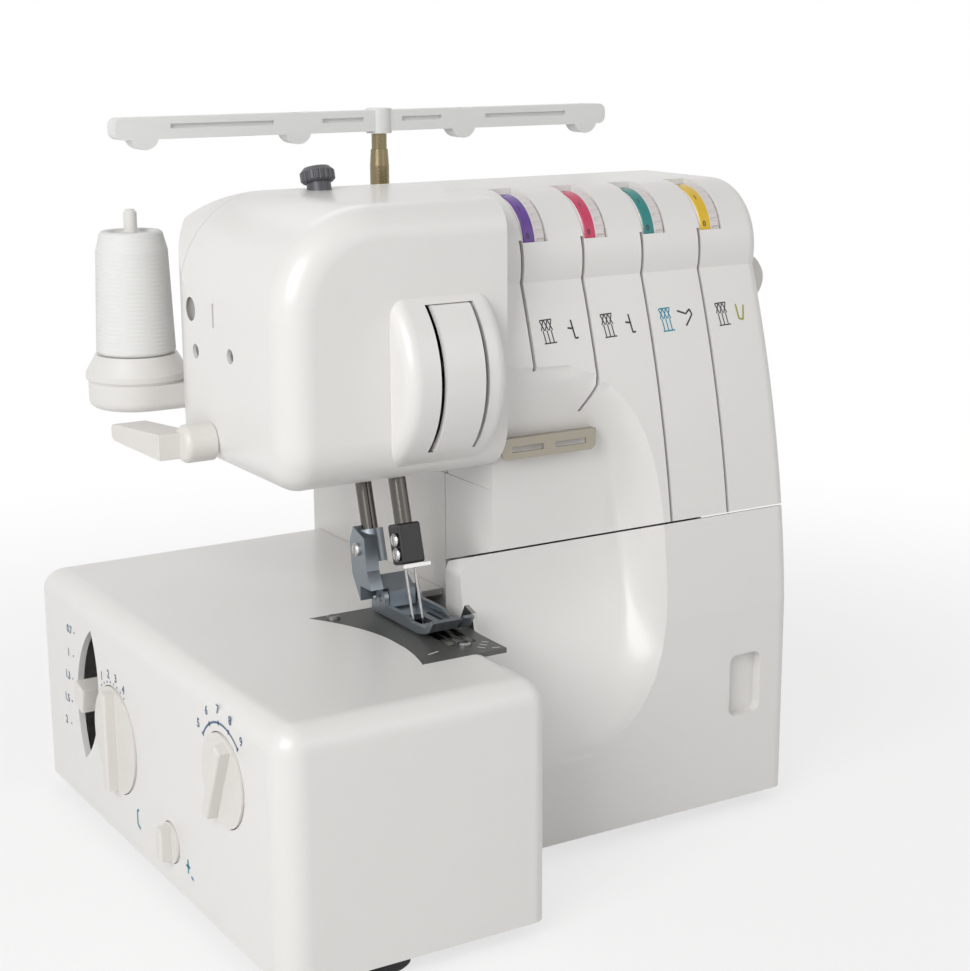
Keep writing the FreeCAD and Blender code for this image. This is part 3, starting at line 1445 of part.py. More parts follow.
def thread_guide_plate():
    """Bent sheet on the scoop's floor, with two windows that lead the needle threads."""
    x0, x1 = guide_plate_left, guide_plate_right
    y = scoop_floor(x1, guide_plate_low + 9) - loose
    face = block(x0, x1, y - 4, y - 3, guide_plate_low, guide_plate_low + 9)
    face = round_edges(face, 3,
                       lambda edge: edge.BoundBox.YLength > 0.5 and middle(edge).z < guide_plate_low + 1)
    middle_x = (x0 + x1) / 2
    for start, end in ((x0 + 5, middle_x - 3), (middle_x + 3, x1 - 5)):
        face = face.cut(block(start, end, 0, far, guide_plate_low + 3, guide_plate_low + 5.5))
    ledge = block(x0, x1, y - 4, y - loose, guide_plate_low + 8, guide_plate_low + 9)
    return face.fuse(ledge).removeSplitter()


def lamp():
    shape = block(lamp_x + loose, lamp_x + lamp_width - loose, lamp_y + loose, lamp_y + lamp_depth - loose,
                  head_under - 1, head_under + 4 * wall)
    return round_edges(shape, 1, lambda edge: edge.BoundBox.ZMax < head_under)


def power_switch():
    half = switch_height / 2
    inner, outer = arm_right - 7, arm_right + 0.6
    outline = [(inner, -half), (outer + 1.6, -half), (outer, 0), (outer + 0.6, half), (inner, half)]
    rocker = prism_y([(x, switch_z + z) for x, z in outline], switch_y, switch_y + switch_width)
    pivot_x = arm_right - 5
    pivot = rod(1.5, (pivot_x, switch_y - loose, switch_z),
                (pivot_x, switch_y + switch_width + loose, switch_z))
    return rocker.fuse(pivot)


def power_inlet():
    body = block(arm_right - 20, arm_right + 0.8, inlet_y + loose, inlet_y + inlet_width - loose,
                 inlet_z + loose, inlet_z + inlet_height - loose)
    body = body.cut(block(arm_right - 16, far, inlet_y + 3, inlet_y + inlet_width - 3, inlet_z + 4,
                          inlet_z + inlet_height - 4))
    for y in (inlet_y + inlet_width / 3, inlet_y + inlet_width * 2 / 3):
        body = body.fuse(rod(1.2, (arm_right - 17, y, inlet_z + inlet_height / 2),
                             (arm_right - 4, y, inlet_z + inlet_height / 2)))
    return body.removeSplitter()


# Writing

def save(name, shape):
    solids = shape if isinstance(shape, list) else shape.Solids
    middle_x = (wheel_end - control_reach) / 2
    middle_y = (stand_y + cone_radius) / 2
    group = Part.makeCompound(solids) if len(solids) > 1 else solids[0].copy()
    group.translate(V(-middle_x, -middle_y, foot_height))
    if not group.isValid():
        print("not valid:", name)
    group.exportStep("parts/%s.step" % name)


shell = body_form().cut(body_hollow())
pieces = {
    "base_plate": base_plate(),
    "rubber_feet": rubber_feet(),
    "bed_housing": bed_housing(),
    "head_housing": head_housing(shell),
    "tension_panel": tension_panel(shell),
    "rear_housing": rear_housing(shell),
    "looper_cover": looper_cover(),
    "cover_hinge_rod": hinge_rod(),
    "take_up_cover": take_up_cover(),
    "needle_plate": needle_plate(),
    "thread_guide_plate": thread_guide_plate(),
    "housing_screws": needle_plate_screws() + head_housing_screws(),
    "main_frame": main_frame(),
    "inner_brackets": [dial_bracket(), looper_bracket(), feed_guide()],
    "bushes": shaft_bushes() + bar_bushes(),
    "upper_shaft": join(upper_shaft(), crank()),
    "handwheel": handwheel(),
    "upper_pulley": pulley(timing_x, timing_width, timing_radius, shaft_radius, shaft_y, shaft_z),
    "main_shaft": main_shaft(),
    "main_pulleys": [pulley(timing_x, timing_width, timing_radius, shaft_radius, main_y, main_z),
                     pulley(drive_x, drive_width, drive_radius, shaft_radius, main_y, main_z)],
    "drive_belts": [belt(timing_x, timing_width, shaft_y, shaft_z, timing_radius, main_y, main_z,
                         timing_radius),
                    belt(drive_x, drive_width, main_y, main_z, drive_radius, motor_y, main_z,
                         motor_pulley_radius)],
    "motor": motor(),
    "motor_pulley": motor_pulley(),
    "needle_bar": [needle_bar(), needle_link()],
    "needle_clamp": [needle_clamp()] + clamp_screws(),
    "needles": needles(),
    "presser_bar": presser_bar(),
    "presser_spring": presser_spring(),
    "pressure_knob": pressure_knob(),
    "foot_holder": [foot_holder(), foot_screw()],
    "presser_foot": presser_foot(),
    "presser_lifter": presser_lifter(),
    "take_up_lever": take_up_lever(),
    "tension_axle": [tension_axle()] + tension_discs(),
    "lower_looper": join(lower_looper(), looper_shaft(lower_looper_x, lower_looper_y)),
    "upper_looper": join(upper_looper(), looper_shaft(upper_looper_x, upper_looper_y)),
    "upper_knife": upper_knife(),
    "lower_knife": lower_knife(),
    "main_feed_dog": main_feed_dog(),
    "differential_feed_dog": differential_feed_dog(),
    "stitch_length_dial": control_dial(*length_dial, 0),
    "stitch_width_dial": control_dial(*width_dial, 25),
    "hem_dial": control_dial(*hem_dial, 0),
    "differential_lever": differential_lever(),
    "spool_stand": spool_stand(),
    "spool_pins": spool_pins(),
    "cone_holders": cone_holders(),
    "spool_core": spool_core(),
    "thread_package": thread_package(),
    "pole_lower_tube": pole_lower(),
    "pole_middle_tube": pole_middle(),
    "pole_top_rod": pole_top_rod(),
    "thread_guide_bar": guide_bar(),
    "lamp": lamp(),
    "power_switch": power_switch(),
    "power_inlet": power_inlet(),
}
for index in range(dial_count):
    pieces["tension_dial_%d" % (index + 1)] = tension_dial(index)
for name, shape in pieces.items():
    save(name, shape)
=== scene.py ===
import json
import math

import bmesh
import bpy
from mathutils import Euler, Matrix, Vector
from mathutils.bvhtree import BVHTree


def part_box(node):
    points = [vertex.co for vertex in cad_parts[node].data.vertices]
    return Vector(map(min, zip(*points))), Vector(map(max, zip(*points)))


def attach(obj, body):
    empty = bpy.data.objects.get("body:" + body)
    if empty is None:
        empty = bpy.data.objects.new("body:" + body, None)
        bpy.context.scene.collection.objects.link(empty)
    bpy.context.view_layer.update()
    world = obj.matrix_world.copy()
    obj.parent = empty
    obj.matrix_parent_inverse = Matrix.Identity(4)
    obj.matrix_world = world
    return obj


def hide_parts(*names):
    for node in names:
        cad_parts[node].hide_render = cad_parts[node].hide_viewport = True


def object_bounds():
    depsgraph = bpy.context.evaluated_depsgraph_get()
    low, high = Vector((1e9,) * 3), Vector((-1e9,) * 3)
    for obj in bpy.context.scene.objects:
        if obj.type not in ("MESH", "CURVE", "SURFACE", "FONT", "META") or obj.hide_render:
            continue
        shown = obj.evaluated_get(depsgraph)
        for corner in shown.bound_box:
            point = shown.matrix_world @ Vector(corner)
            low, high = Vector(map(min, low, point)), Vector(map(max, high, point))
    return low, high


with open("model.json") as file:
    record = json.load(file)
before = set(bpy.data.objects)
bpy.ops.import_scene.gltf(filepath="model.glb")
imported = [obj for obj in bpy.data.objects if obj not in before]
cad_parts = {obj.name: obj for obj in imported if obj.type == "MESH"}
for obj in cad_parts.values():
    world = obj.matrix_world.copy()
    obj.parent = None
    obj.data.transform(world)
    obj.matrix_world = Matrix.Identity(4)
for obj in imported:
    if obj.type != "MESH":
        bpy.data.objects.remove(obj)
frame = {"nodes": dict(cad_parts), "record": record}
cad_box = [list(corner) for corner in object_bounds()]


# Frame and inner brackets: the frame is one sand-cast aluminium piece with a grainy skin, machined at its
# bores. The base plate and the brackets are pressed from sheet and painted grey.
class Value:
    """A number, colour or shader in a node tree, with ordinary arithmetic on numbers."""

    def __init__(self, tree, socket):
        self.tree = tree
        self.socket = socket

    def make(self, kind, settings=None, inputs=None, output=0):
        """Another node of the same tree; its inputs are numbers, colours or Values."""
        node = self.tree.nodes.new(kind)
        for key, value in (settings or {}).items():
            setattr(node, key, value)
        for key, value in (inputs or {}).items():
            if isinstance(value, Value):
                self.tree.links.new(value.socket, node.inputs[key])
            else:
                node.inputs[key].default_value = value
        return Value(self.tree, node.outputs[output])

    def both(self, operation, first, second):
        return self.make("ShaderNodeMath", {"operation": operation}, {0: first, 1: second})

    def __add__(self, other):
        return self.both("ADD", self, other)

    def __radd__(self, other):
        return self.both("ADD", other, self)

    def __sub__(self, other):
        return self.both("SUBTRACT", self, other)

    def __rsub__(self, other):
        return self.both("SUBTRACT", other, self)

    def __mul__(self, other):
        return self.both("MULTIPLY", self, other)

    def __rmul__(self, other):
        return self.both("MULTIPLY", other, self)

    def __gt__(self, other):
        return self.both("GREATER_THAN", self, other)

    def __lt__(self, other):
        return self.both("LESS_THAN", self, other)

    def mixed(self, first, second):
        """A colour between two, by this Value from 0 to 1."""
        return self.make("ShaderNodeMix", {"data_type": "RGBA"}, {0: self, 6: first, 7: second}, 2)


def places(made):
    """The place on the part, in metres: the whole vector and its x, y and z."""
    tree = made.node_tree
    spot = Value(tree, tree.nodes.new("ShaderNodeTexCoord").outputs["Object"])
    return spot, [spot.make("ShaderNodeSeparateXYZ", None, {0: spot}, axis) for axis in range(3)]


def feed(made, name, value):
    made.node_tree.links.new(value.socket, made.node_tree.nodes["Principled BSDF"].inputs[name])


def rgba(colour):
    return (*colour, 1.0)


mm = 0.001
nodes = frame["nodes"]
coat_roughness = 0.12
relief_strength = 0.6


def surface(name, colour, roughness, metallic=0.0, coat=0.0, grain=400.0, spread=0.06, mottle=0.04,
            relief=0.0):
    """A finish whose gloss and shade wander a little; relief, in metres, makes its grain stand up."""
    made = bpy.data.materials.new(name)
    made.use_nodes = True
    shader = made.node_tree.nodes["Principled BSDF"]
    shader.inputs["Metallic"].default_value = metallic
    shader.inputs["Coat Weight"].default_value = coat
    shader.inputs["Coat Roughness"].default_value = coat_roughness
    spot, _ = places(made)
    cloud = spot.make("ShaderNodeTexNoise", None, {"Vector": spot, "Scale": grain, "Detail": 2.0})
    feed(made, "Roughness", roughness - spread / 2 + cloud * spread)
    darker = [part * (1 - mottle) for part in colour]
    feed(made, "Base Color", cloud.mixed(rgba(darker), rgba(colour)))
    if relief:
        bump = {"Strength": relief_strength, "Distance": relief, "Height": cloud}
        feed(made, "Normal", spot.make("ShaderNodeBump", None, bump))
    return made


def paint(made, *names):
    for name in names:
        nodes[name].data.materials.clear()
        nodes[name].data.materials.append(made)


cast = surface("cast aluminium", (0.50, 0.50, 0.51), 0.5, metallic=0.8, grain=900.0, spread=0.14,
               relief=0.3 * mm)
paint(cast, "main_frame")
painted = surface("grey paint", (0.45, 0.45, 0.44), 0.5, grain=1400.0, relief=0.08 * mm)
paint(painted, "base_plate", "inner_brackets")

# Feet and belts: black rubber, moulded with a matt skin. The feet are pressed into the base plate,
# and the belts run on the pulleys.
rubber = surface("black rubber", (0.028, 0.028, 0.028), 0.75, grain=1200.0, mottle=0.3, relief=0.1 * mm)
paint(rubber, "rubber_feet", "drive_belts")

# Bushes, pulleys and motor: sintered bronze bushes pressed into the frame, grey moulded pulleys,
# and a motor in a black-painted can.
bronze = surface("bush bronze", (0.45, 0.33, 0.16), 0.38, metallic=1.0, grain=1500.0, spread=0.12)
paint(bronze, "bushes")
paint(surface("pulley grey", (0.16, 0.16, 0.17), 0.5, relief=0.05 * mm), "upper_pulley", "main_pulleys")
paint(surface("motor black", (0.04, 0.04, 0.045), 0.45, grain=1000.0, relief=0.08 * mm), "motor")

# Shafts, loopers, knives and needles: ground and polished steel, turned or stamped.
# They run in the frame's bushes, or are held by clamps and small screws.
ground = surface("ground steel", (0.40, 0.39, 0.38), 0.27, metallic=1.0, grain=2200.0, spread=0.12)
paint(ground, "upper_shaft", "main_shaft", "motor_pulley", "take_up_lever", "tension_axle", "lower_looper",
      "upper_looper", "upper_knife", "lower_knife", "needles", "cover_hinge_rod", "presser_spring")

# Needle bar, presser bar and feed dogs: hardened steel, coloured dark as a painted reflection of dark
# surroundings.
# The bars slide in their bushes, and the dogs in a guide under the needle plate.
dark_reflection_steel = surface("bar steel with painted dark reflection", (0.13, 0.123, 0.112), 0.2, metallic=1.0, grain=1800.0, spread=0.10,
                mottle=0.2)
paint(dark_reflection_steel, "needle_bar", "presser_bar", "main_feed_dog", "differential_feed_dog")

# Housing: injection-moulded shells in warm white plastic with a soft gloss, screwed to the frame and
# meeting at fine seams. On the head's left face the floor of a shallow round recess is painted grey as shade.
white_colour = (0.80, 0.788, 0.768)
recess_shade_colour = (0.30, 0.29, 0.28)
recess_radius = 5.1 * mm
recess_y, recess_z = 32.5 * mm, 235.0 * mm
recess_skin = 0.3 * mm
recess_floor = 2.0 * mm


def white_plastic(name):
    return surface(name, white_colour, 0.30, coat=0.12, grain=90.0, spread=0.05, mottle=0.012)


shell = white_plastic("warm white plastic")
paint(shell, "bed_housing", "tension_panel", "rear_housing", "looper_cover", "take_up_cover")
head = white_plastic("warm white plastic with painted recess shade")
_, (x, y, z) = places(head)
across, up = y - recess_y, z - recess_z
head_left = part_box("head_housing")[0].x
sunk = (x > head_left + recess_skin) * (x < head_left + recess_floor)
# Painted shade: the recess floor is coloured grey in place of the shade that falls inside it.
painted_recess_shade = (across * across + up * up < recess_radius ** 2) * sunk
feed(head, "Base Color", painted_recess_shade.mixed(rgba(white_colour), rgba(recess_shade_colour)))
paint(head, "head_housing")

# Housing screws: zinc-plated steel with a driver slot.
# They are sunk in their holes and hold the shells and the needle plate.
plated = surface("plated screws", (0.30, 0.30, 0.30), 0.35, metallic=1.0, grain=1500.0, spread=0.15)
paint(plated, "housing_screws")

# Needle plate: dark grey painted steel sheet with stamped slots, worn brighter by the cloth.
# It is let into the bed and held by a screw.
plate = surface("dark plate", (0.115, 0.118, 0.112), 0.42, metallic=0.35, grain=1600.0, spread=0.12,
                mottle=0.15)
paint(plate, "needle_plate")

# Presser foot and its holder: blue-grey steel, finely brushed, joined by a pin at the ankle.
# The holder is held on the presser bar by a bright screw at its left.
bright_colour = (0.62, 0.61, 0.60)
foot_colour = (0.30, 0.335, 0.37)
holder_screw_reach = 1.5 * mm


def brushed_steel(name, roughness):
    return surface(name, foot_colour, roughness, metallic=0.9, grain=1300.0, spread=0.14, mottle=0.12)


paint(brushed_steel("foot steel", 0.34), "presser_foot")
holder = brushed_steel("holder steel", 0.36)
_, (x, _, _) = places(holder)
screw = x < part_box("foot_holder")[0].x + holder_screw_reach
feed(holder, "Base Color", screw.mixed(rgba(foot_colour), rgba(bright_colour)))
paint(holder, "foot_holder")

# Needle clamp: a blackened steel block on the needle bar's end with two bright screws at its left,
# and a thin bright plate under it that guides the threads.
clamp_colour = (0.010, 0.010, 0.011)
clamp_screw_reach = 0.7 * mm
guide_height = 3.4 * mm
clamp = surface("blackened steel", clamp_colour, 0.33, grain=1500.0, spread=0.12)
_, (x, y, z) = places(clamp)
joints = frame["record"]["behaviour"]["joints"]
slide = next(joint for joint in joints if joint["name"] == "needle_bar_slide")
lean_y, lean_z = slide["axis"][1:]
clamp_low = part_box("needle_clamp")[0]
guide_top = clamp_low.y * lean_y + clamp_low.z * lean_z + guide_height
bright = (x < clamp_low.x + clamp_screw_reach) + (y * lean_y + z * lean_z < guide_top)
feed(clamp, "Base Color", bright.mixed(rgba(clamp_colour), rgba(bright_colour)))
feed(clamp, "Metallic", bright)
paint(clamp, "needle_clamp")

# Thread guide beside the head: a strip of bent sheet steel with a beige-grey plating,
# screwed to the panel.
sheet = surface("beige plating", (0.40, 0.365, 0.30), 0.36, metallic=0.6, grain=1200.0, spread=0.12)
paint(sheet, "thread_guide_plate")

# Hand controls: dials, levers and handwheel, moulded in a slightly greyer white plastic than the shells
# and pushed on their shafts.
control = surface("control plastic", (0.76, 0.735, 0.70), 0.34, coat=0.1, grain=120.0, mottle=0.02)
paint(control, "stitch_length_dial", "stitch_width_dial", "hem_dial", "differential_lever", "handwheel",
      "presser_lifter")

# Pressure knob: dark grey moulded plastic with a knurled rim.
# It sits in the top of the head, above the presser bar.
knob = surface("dark grey plastic", (0.07, 0.07, 0.08), 0.38, grain=900.0, relief=0.05 * mm)
paint(knob, "pressure_knob")

# Switch, inlet and lamp: black moulded plastic snapped into the rear housing,
# and a clear moulded lens under the head.
black = surface("switch black", (0.02, 0.02, 0.02), 0.4, grain=900.0, relief=0.04 * mm)
paint(black, "power_switch", "power_inlet")
paint(surface("lamp lens", (0.90, 0.89, 0.85), 0.15, grain=150.0), "lamp")

# Tension dials: moulded wheels with a printed colour band at the left, for the thread it holds,
# and a pale ribbed grip at the right. Plain numbers go round the band.
dial_names = ["tension_dial_%d" % number for number in range(1, 5)]
dial_colours = ((0.115, 0.036, 0.285), (0.56, 0.030, 0.105), (0.0, 0.20, 0.19), (0.74, 0.47, 0.008))
grip_colour = (0.70, 0.66, 0.65)
band_width = 6.2 * mm
rim_width = 0.8 * mm
figure_lift = 0.05 * mm
figure_size = 3.4 * mm
figure_boldness = 0.025
figure_start, figure_step = 15, 36
dark_ink = surface("dark ink", (0.03, 0.03, 0.035), 0.6)


def add_print(name, mesh, made, body):
    """Make a printed layer of a mesh and fix it to a body."""
    data = bpy.data.meshes.new(name)
    mesh.to_mesh(data)
    mesh.free()
    data.materials.append(made)
    layer = bpy.data.objects.new(name, data)
    bpy.context.collection.objects.link(layer)
    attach(layer, body)


def numbers(name, entries, size, made, body):
    """Printed figures: each entry is a text and the function that lays a flat point on the surface."""
    mesh = bmesh.new()
    for text, lay in entries:
        curve = bpy.data.curves.new(name, "FONT")
        curve.body = text
        curve.size = size
        curve.offset = figure_boldness * size
        curve.align_x = "CENTER"
        curve.align_y = "CENTER"
        curve.resolution_u = 2
        flat = bpy.data.objects.new(name, curve)
        figure = bpy.data.meshes.new_from_object(flat)
        before = set(mesh.verts)
        mesh.from_mesh(figure)
        for vert in mesh.verts:
            if vert not in before:
                vert.co = lay(vert.co.x, vert.co.y)
        bpy.data.objects.remove(flat)
        bpy.data.curves.remove(curve)
        bpy.data.meshes.remove(figure)
    add_print(name, mesh, made, body)


def middle_of(name):
    low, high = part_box(name)
    return (low + high) / 2


def round_band(name, angle):
    """Lays a figure on a dial's rim at an angle from the front, upright for someone in front."""
    low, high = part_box(name)
    centre = middle_of(name)
    radius = (high.z - low.z) / 2 + figure_lift

    def lay(u, v):
        turn = angle + v / radius
        return Vector((low.x + band_width / 2 + u, centre.y - radius * math.cos(turn),
                       centre.z + radius * math.sin(turn)))
    return lay


for name, colour in zip(dial_names, dial_colours):
    made = surface("dial " + name[-1], colour, 0.36, coat=0.15, grain=500.0)
    _, (x, _, _) = places(made)
    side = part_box(name)[0].x
    grip = (x > side + band_width) + (x < side + rim_width)
    feed(made, "Base Color", grip.mixed(rgba(colour), rgba(grip_colour)))
    paint(made, name)
    entries = [(str(figure), round_band(name, math.radians(figure_start + figure_step * figure)))
               for figure in range(10)]
    numbers("dial_numbers_" + name[-1], entries, figure_size, dark_ink, "dial_" + name[-1])

# Thread stand: shelf, pins, cone holders and the spool's core in white moulded plastic,
# pressed together and screwed to the back.
stand = surface("stand plastic", (0.78, 0.765, 0.74), 0.33, coat=0.1, grain=100.0, mottle=0.02)
paint(stand, "spool_stand", "spool_pins", "cone_holders", "spool_core")

# Pole: two telescoping brass tubes and a rod with a dark bronze plating.
# The lower tube stands in the shelf.
pole = surface("bronze plating", (0.27, 0.22, 0.13), 0.27, metallic=1.0, grain=1000.0, spread=0.1,
               mottle=0.15)
paint(pole, "pole_lower_tube", "pole_middle_tube", "pole_top_rod")

# Guide bar: milky moulded plastic that lets some light through, with eyes for the threads.
# It is pushed on the pole's top.
milk = surface("milky plastic", (0.86, 0.865, 0.85), 0.34, grain=150.0, mottle=0.02)
milk.node_tree.nodes["Principled BSDF"].inputs["Transmission Weight"].default_value = 0.10
paint(milk, "thread_guide_bar")

# Thread package: white sewing thread, cross-wound on its core by a winding machine.
# The slanted turns cross each other and stand up a little.
thread_low, thread_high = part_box("thread_package")
thread_axis = middle_of("thread_package")
thread_foot, thread_top = thread_low.z, thread_high.z
outer = (thread_high.x - thread_low.x) / 2
core = 9.0 * mm
foot_round, foot_inset = 1.2 * mm, 0.2 * mm
shoulder, shoulder_drop = outer - 2.0 * mm, 8.5 * mm
rim, rim_round = outer - 5.0 * mm, 1.0 * mm
top_drop = 0.1 * mm
plain_foot = 1.0 * mm
wall_rows = 110
shoulder_rows = 18
thread_sides = 144
turn_pitch = 1.9 * mm
turn_slant = 5
turn_height = 0.09 * mm
weld_gap = 0.001 * mm
strand_rate, strand_slant = 14000.0, 9.0
strand_strength, strand_height = 0.3, 0.1 * mm
outline = [(core, thread_foot), (outer - foot_round, thread_foot),
           (outer - foot_inset, thread_foot + foot_round), (shoulder, thread_top - shoulder_drop),
           (rim + rim_round, thread_top - rim_round), (rim, thread_top - top_drop),
           (core, thread_top - top_drop)]
winding = bmesh.new()
ring = [winding.verts.new((thread_axis.x + radius, thread_axis.y, height)) for radius, height in outline]
sides = [winding.edges.new((one, two)) for one, two in zip(ring, ring[1:] + ring[:1])]
bmesh.ops.subdivide_edges(winding, edges=[sides[2]], cuts=wall_rows)
bmesh.ops.subdivide_edges(winding, edges=[sides[3]], cuts=shoulder_rows)
bmesh.ops.spin(winding, geom=winding.verts[:] + winding.edges[:], cent=(thread_axis.x, thread_axis.y, 0),
               axis=(0, 0, 1), angle=2 * math.pi, steps=thread_sides, use_merge=True)
for vert in winding.verts:
    arm = Vector((vert.co.x - thread_axis.x, vert.co.y - thread_axis.y, 0))
    if arm.length > rim and vert.co.z > thread_foot + plain_foot:
        phase = 2 * math.pi * vert.co.z / turn_pitch
        around = turn_slant * math.atan2(arm.y, arm.x)
        ridge = (math.sin(phase + around) + math.sin(phase - around)) / 2
        vert.co += arm.normalized() * turn_height * ridge
bmesh.ops.remove_doubles(winding, verts=winding.verts[:], dist=weld_gap)
bmesh.ops.recalc_face_normals(winding, faces=winding.faces[:])
for face in winding.faces:
    face.smooth = True
package_mesh = bpy.data.meshes.new("thread_winding")
winding.to_mesh(package_mesh)
winding.free()
package = bpy.data.objects.new("thread_winding", package_mesh)
bpy.context.collection.objects.link(package)
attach(package, "spool")
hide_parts("thread_package")
thread = surface("white thread", (0.83, 0.83, 0.815), 0.8, grain=700.0)
spot, (x, y, z) = places(thread)
turn = spot.both("ARCTAN2", y - thread_axis.y, x - thread_axis.x)
strand = spot.make("ShaderNodeMath", {"operation": "SINE"}, {0: z * strand_rate + turn * strand_slant})
strand_bump = {"Strength": strand_strength, "Distance": strand_height, "Height": strand}
feed(thread, "Normal", spot.make("ShaderNodeBump", None, strand_bump))
package_mesh.materials.append(thread)

# Print on the tension panel: beside each slot a small seam picture and the way its thread goes.
# The marks are a thin layer of dark, blue and lime ink, pad-printed on the plastic.
blue_ink = surface("blue ink", (0.0, 0.25, 0.37), 0.6)
lime_ink = surface("lime ink", (0.33, 0.36, 0.03), 0.6)
print_lift = 0.1 * mm
fine_line = 0.5 * mm
bold_line = 0.75 * mm
step_length = 2.0 * mm
panel = nodes["tension_panel"].data
panel_tree = BVHTree.FromPolygons([vert.co for vert in panel.vertices],
                                  [face.vertices for face in panel.polygons])


def strokes(name, lines, width, place, outward, made, body):
    """Printed lines: flat bands along lines drawn in two dimensions and laid on a surface by place."""
    mesh = bmesh.new()
    for line in lines:
        for start, end in zip(line, line[1:]):
            start, end = Vector(start), Vector(end)
            along = (end - start).normalized()
            side = Vector((-along.y, along.x))
            pieces = max(1, round((end - start).length / step_length))
            band = bmesh.ops.create_grid(mesh, x_segments=pieces, y_segments=1, size=0.5)
            for vert in band["verts"]:
                flat = (start + end) / 2 + (end - start) * vert.co.x + side * width * vert.co.y
                vert.co = place(flat.x, flat.y)
    mesh.normal_update()
    turned = [face for face in mesh.faces if face.normal.dot(outward) < 0]
    bmesh.ops.reverse_faces(mesh, faces=turned)
    add_print(name, mesh, made, body)


def on_panel(u, v):
    """The place just before the panel's surface, met by a straight line from well in front."""
    hit, _, _, _ = panel_tree.ray_cast(Vector((u, cad_box[0][1] - 1, v)), Vector((0, 1, 0)))
    return hit - Vector((0, print_lift, 0))


def shifted(lines, x, y):
    """Lines drawn in millimetres about a point, moved to that point in metres."""
    return [[(x + u * mm, y + v * mm) for u, v in line] for line in lines]


print_drop = 33.5 * mm
seam_right = 7.7 * mm
path_right, path_step = 20.2 * mm, -1.0 * mm
forwards = Vector((0, -1, 0))
stitches = [[(-3.4, 4.6), (2.6, 4.8)], [(-2.4, -4.8), (3.8, -4.6)]]
for column in (-2.6, -0.6, 1.4):
    stitches += [[(column - 0.8, 4.4), (column + 1.1, 0.4)], [(column + 0.9, 4.4), (column - 0.5, 0.4)],
                 [(column + 0.3, 0.4), (column + 1.0, -4.6)]]
needle_path = [[(-2.6, 0.6), (0.4, 0.2)], [(-0.6, 3.8), (0.6, -3.8)], [(0.6, -3.8), (2.2, -3.6)]]
upper_path = [[(-4.2, 3.2), (0.2, 1.6), (2.4, 3.4), (3.4, 1.2), (2.0, -0.6), (-0.4, -3.4)]]
lower_path = [[(-1.6, 3.6), (-0.8, -2.6), (1.4, -3.2), (2.6, 3.0)]]
paths = (needle_path, needle_path, upper_path, lower_path)
seam_inks = (dark_ink, dark_ink, blue_ink, dark_ink)
path_inks = (dark_ink, dark_ink, dark_ink, lime_ink)
for index, name in enumerate(dial_names):
    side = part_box(name)[0].x
    level = middle_of(name).z - print_drop
    seam = shifted(stitches, side + seam_right, level)
    strokes("seam_mark_" + name[-1], seam, fine_line, on_panel, forwards, seam_inks[index], "machine")
    path = shifted(paths[index], side + path_right + index * path_step, level)
    strokes("path_mark_" + name[-1], path, bold_line, on_panel, forwards, path_inks[index], "machine")

# Print on the bed's left face: scales of dots, lines and plain numbers beside the dials and the slot.
# They are pad-printed in dark blue ink, and the hem dial's two marks in a lighter blue.
scale_ink = surface("scale ink", (0.09, 0.15, 0.26), 0.6)
left_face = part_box("bed_housing")[0].x - print_lift
scale_line = 0.9 * mm
scale_size = 5.2 * mm
left = Vector((-1, 0, 0))


def on_left(u, v):
    return Vector((left_face, u, v))


def around_dial(name, radius, angle):
    """A place on the left face at an angle from straight up, turning to the front, about a dial's middle."""
    centre = middle_of(name)
    turn = math.radians(angle)
    return centre.y - radius * math.sin(turn), centre.z + radius * math.cos(turn)


def fan(name, radius, length, first, last, count):
    """Short lines that point away from a dial's middle, spread evenly between two angles."""
    angles = [first + (last - first) * step / (count - 1) for step in range(count)]
    return [[around_dial(name, radius, angle), around_dial(name, radius + length, angle)] for angle in angles]


def facing_left(y, z):
    return lambda u, v: Vector((left_face, y - u, z + v))


def dial_figures(name, texts, angles, radius):
    return [(text, facing_left(*around_dial(name, radius, angle))) for text, angle in zip(texts, angles)]


width_name = "stitch_width_dial"
width_first, width_last = -55, 40
width_radius, width_tick = 21.3 * mm, 2.0 * mm
width_figure_radius = 27.5 * mm
width_figure_angles = (-55, -31, -7, 17, 40)
width_marks = fan(width_name, width_radius, width_tick, width_first, width_last, 5)
width_marks.append([around_dial(width_name, width_radius + width_tick / 2, angle)
                    for angle in range(width_first, width_last + 1, 5)])
strokes("width_scale", width_marks, scale_line, on_left, left, scale_ink, "machine")
width_figures = dial_figures(width_name, "56789", width_figure_angles, width_figure_radius)
numbers("width_numbers", width_figures, scale_size, scale_ink, "machine")

length_name = "stitch_length_dial"
length_first, length_last = -36, 28
length_radius, length_tick = 24.8 * mm, 0.9 * mm
length_figure_radius = 28.5 * mm
length_figure_angles = (-30, -12, 6, 24)
length_marks = fan(length_name, length_radius, length_tick, length_first, length_last, 8)
strokes("length_scale", length_marks, scale_line, on_left, left, scale_ink, "machine")
length_figures = dial_figures(length_name, "1234", length_figure_angles, length_figure_radius)
numbers("length_numbers", length_figures, scale_size, scale_ink, "machine")

lever = middle_of("differential_lever")
lever_texts = ("0.7", "1", "1.3", "1.5", "2")
lever_back, lever_up = 17.0, 25.0
lever_lean, lever_drop = 2.6, 11.5
dot_start, dot_end = -3.4, -2.4
text_back = 3.5
lever_steps = [(lever_back + lever_lean * step, lever_up - lever_drop * step)
               for step in range(len(lever_texts))]
dots = shifted([[(y + dot_start, z), (y + dot_end, z)] for y, z in lever_steps], lever.y, lever.z)
strokes("differential_scale", dots, scale_line, on_left, left, scale_ink, "machine")
lever_figures = [(text, facing_left(lever.y + (y + text_back) * mm, lever.z + z * mm))
                 for text, (y, z) in zip(lever_texts, lever_steps)]
numbers("differential_numbers", lever_figures, scale_size, scale_ink, "machine")

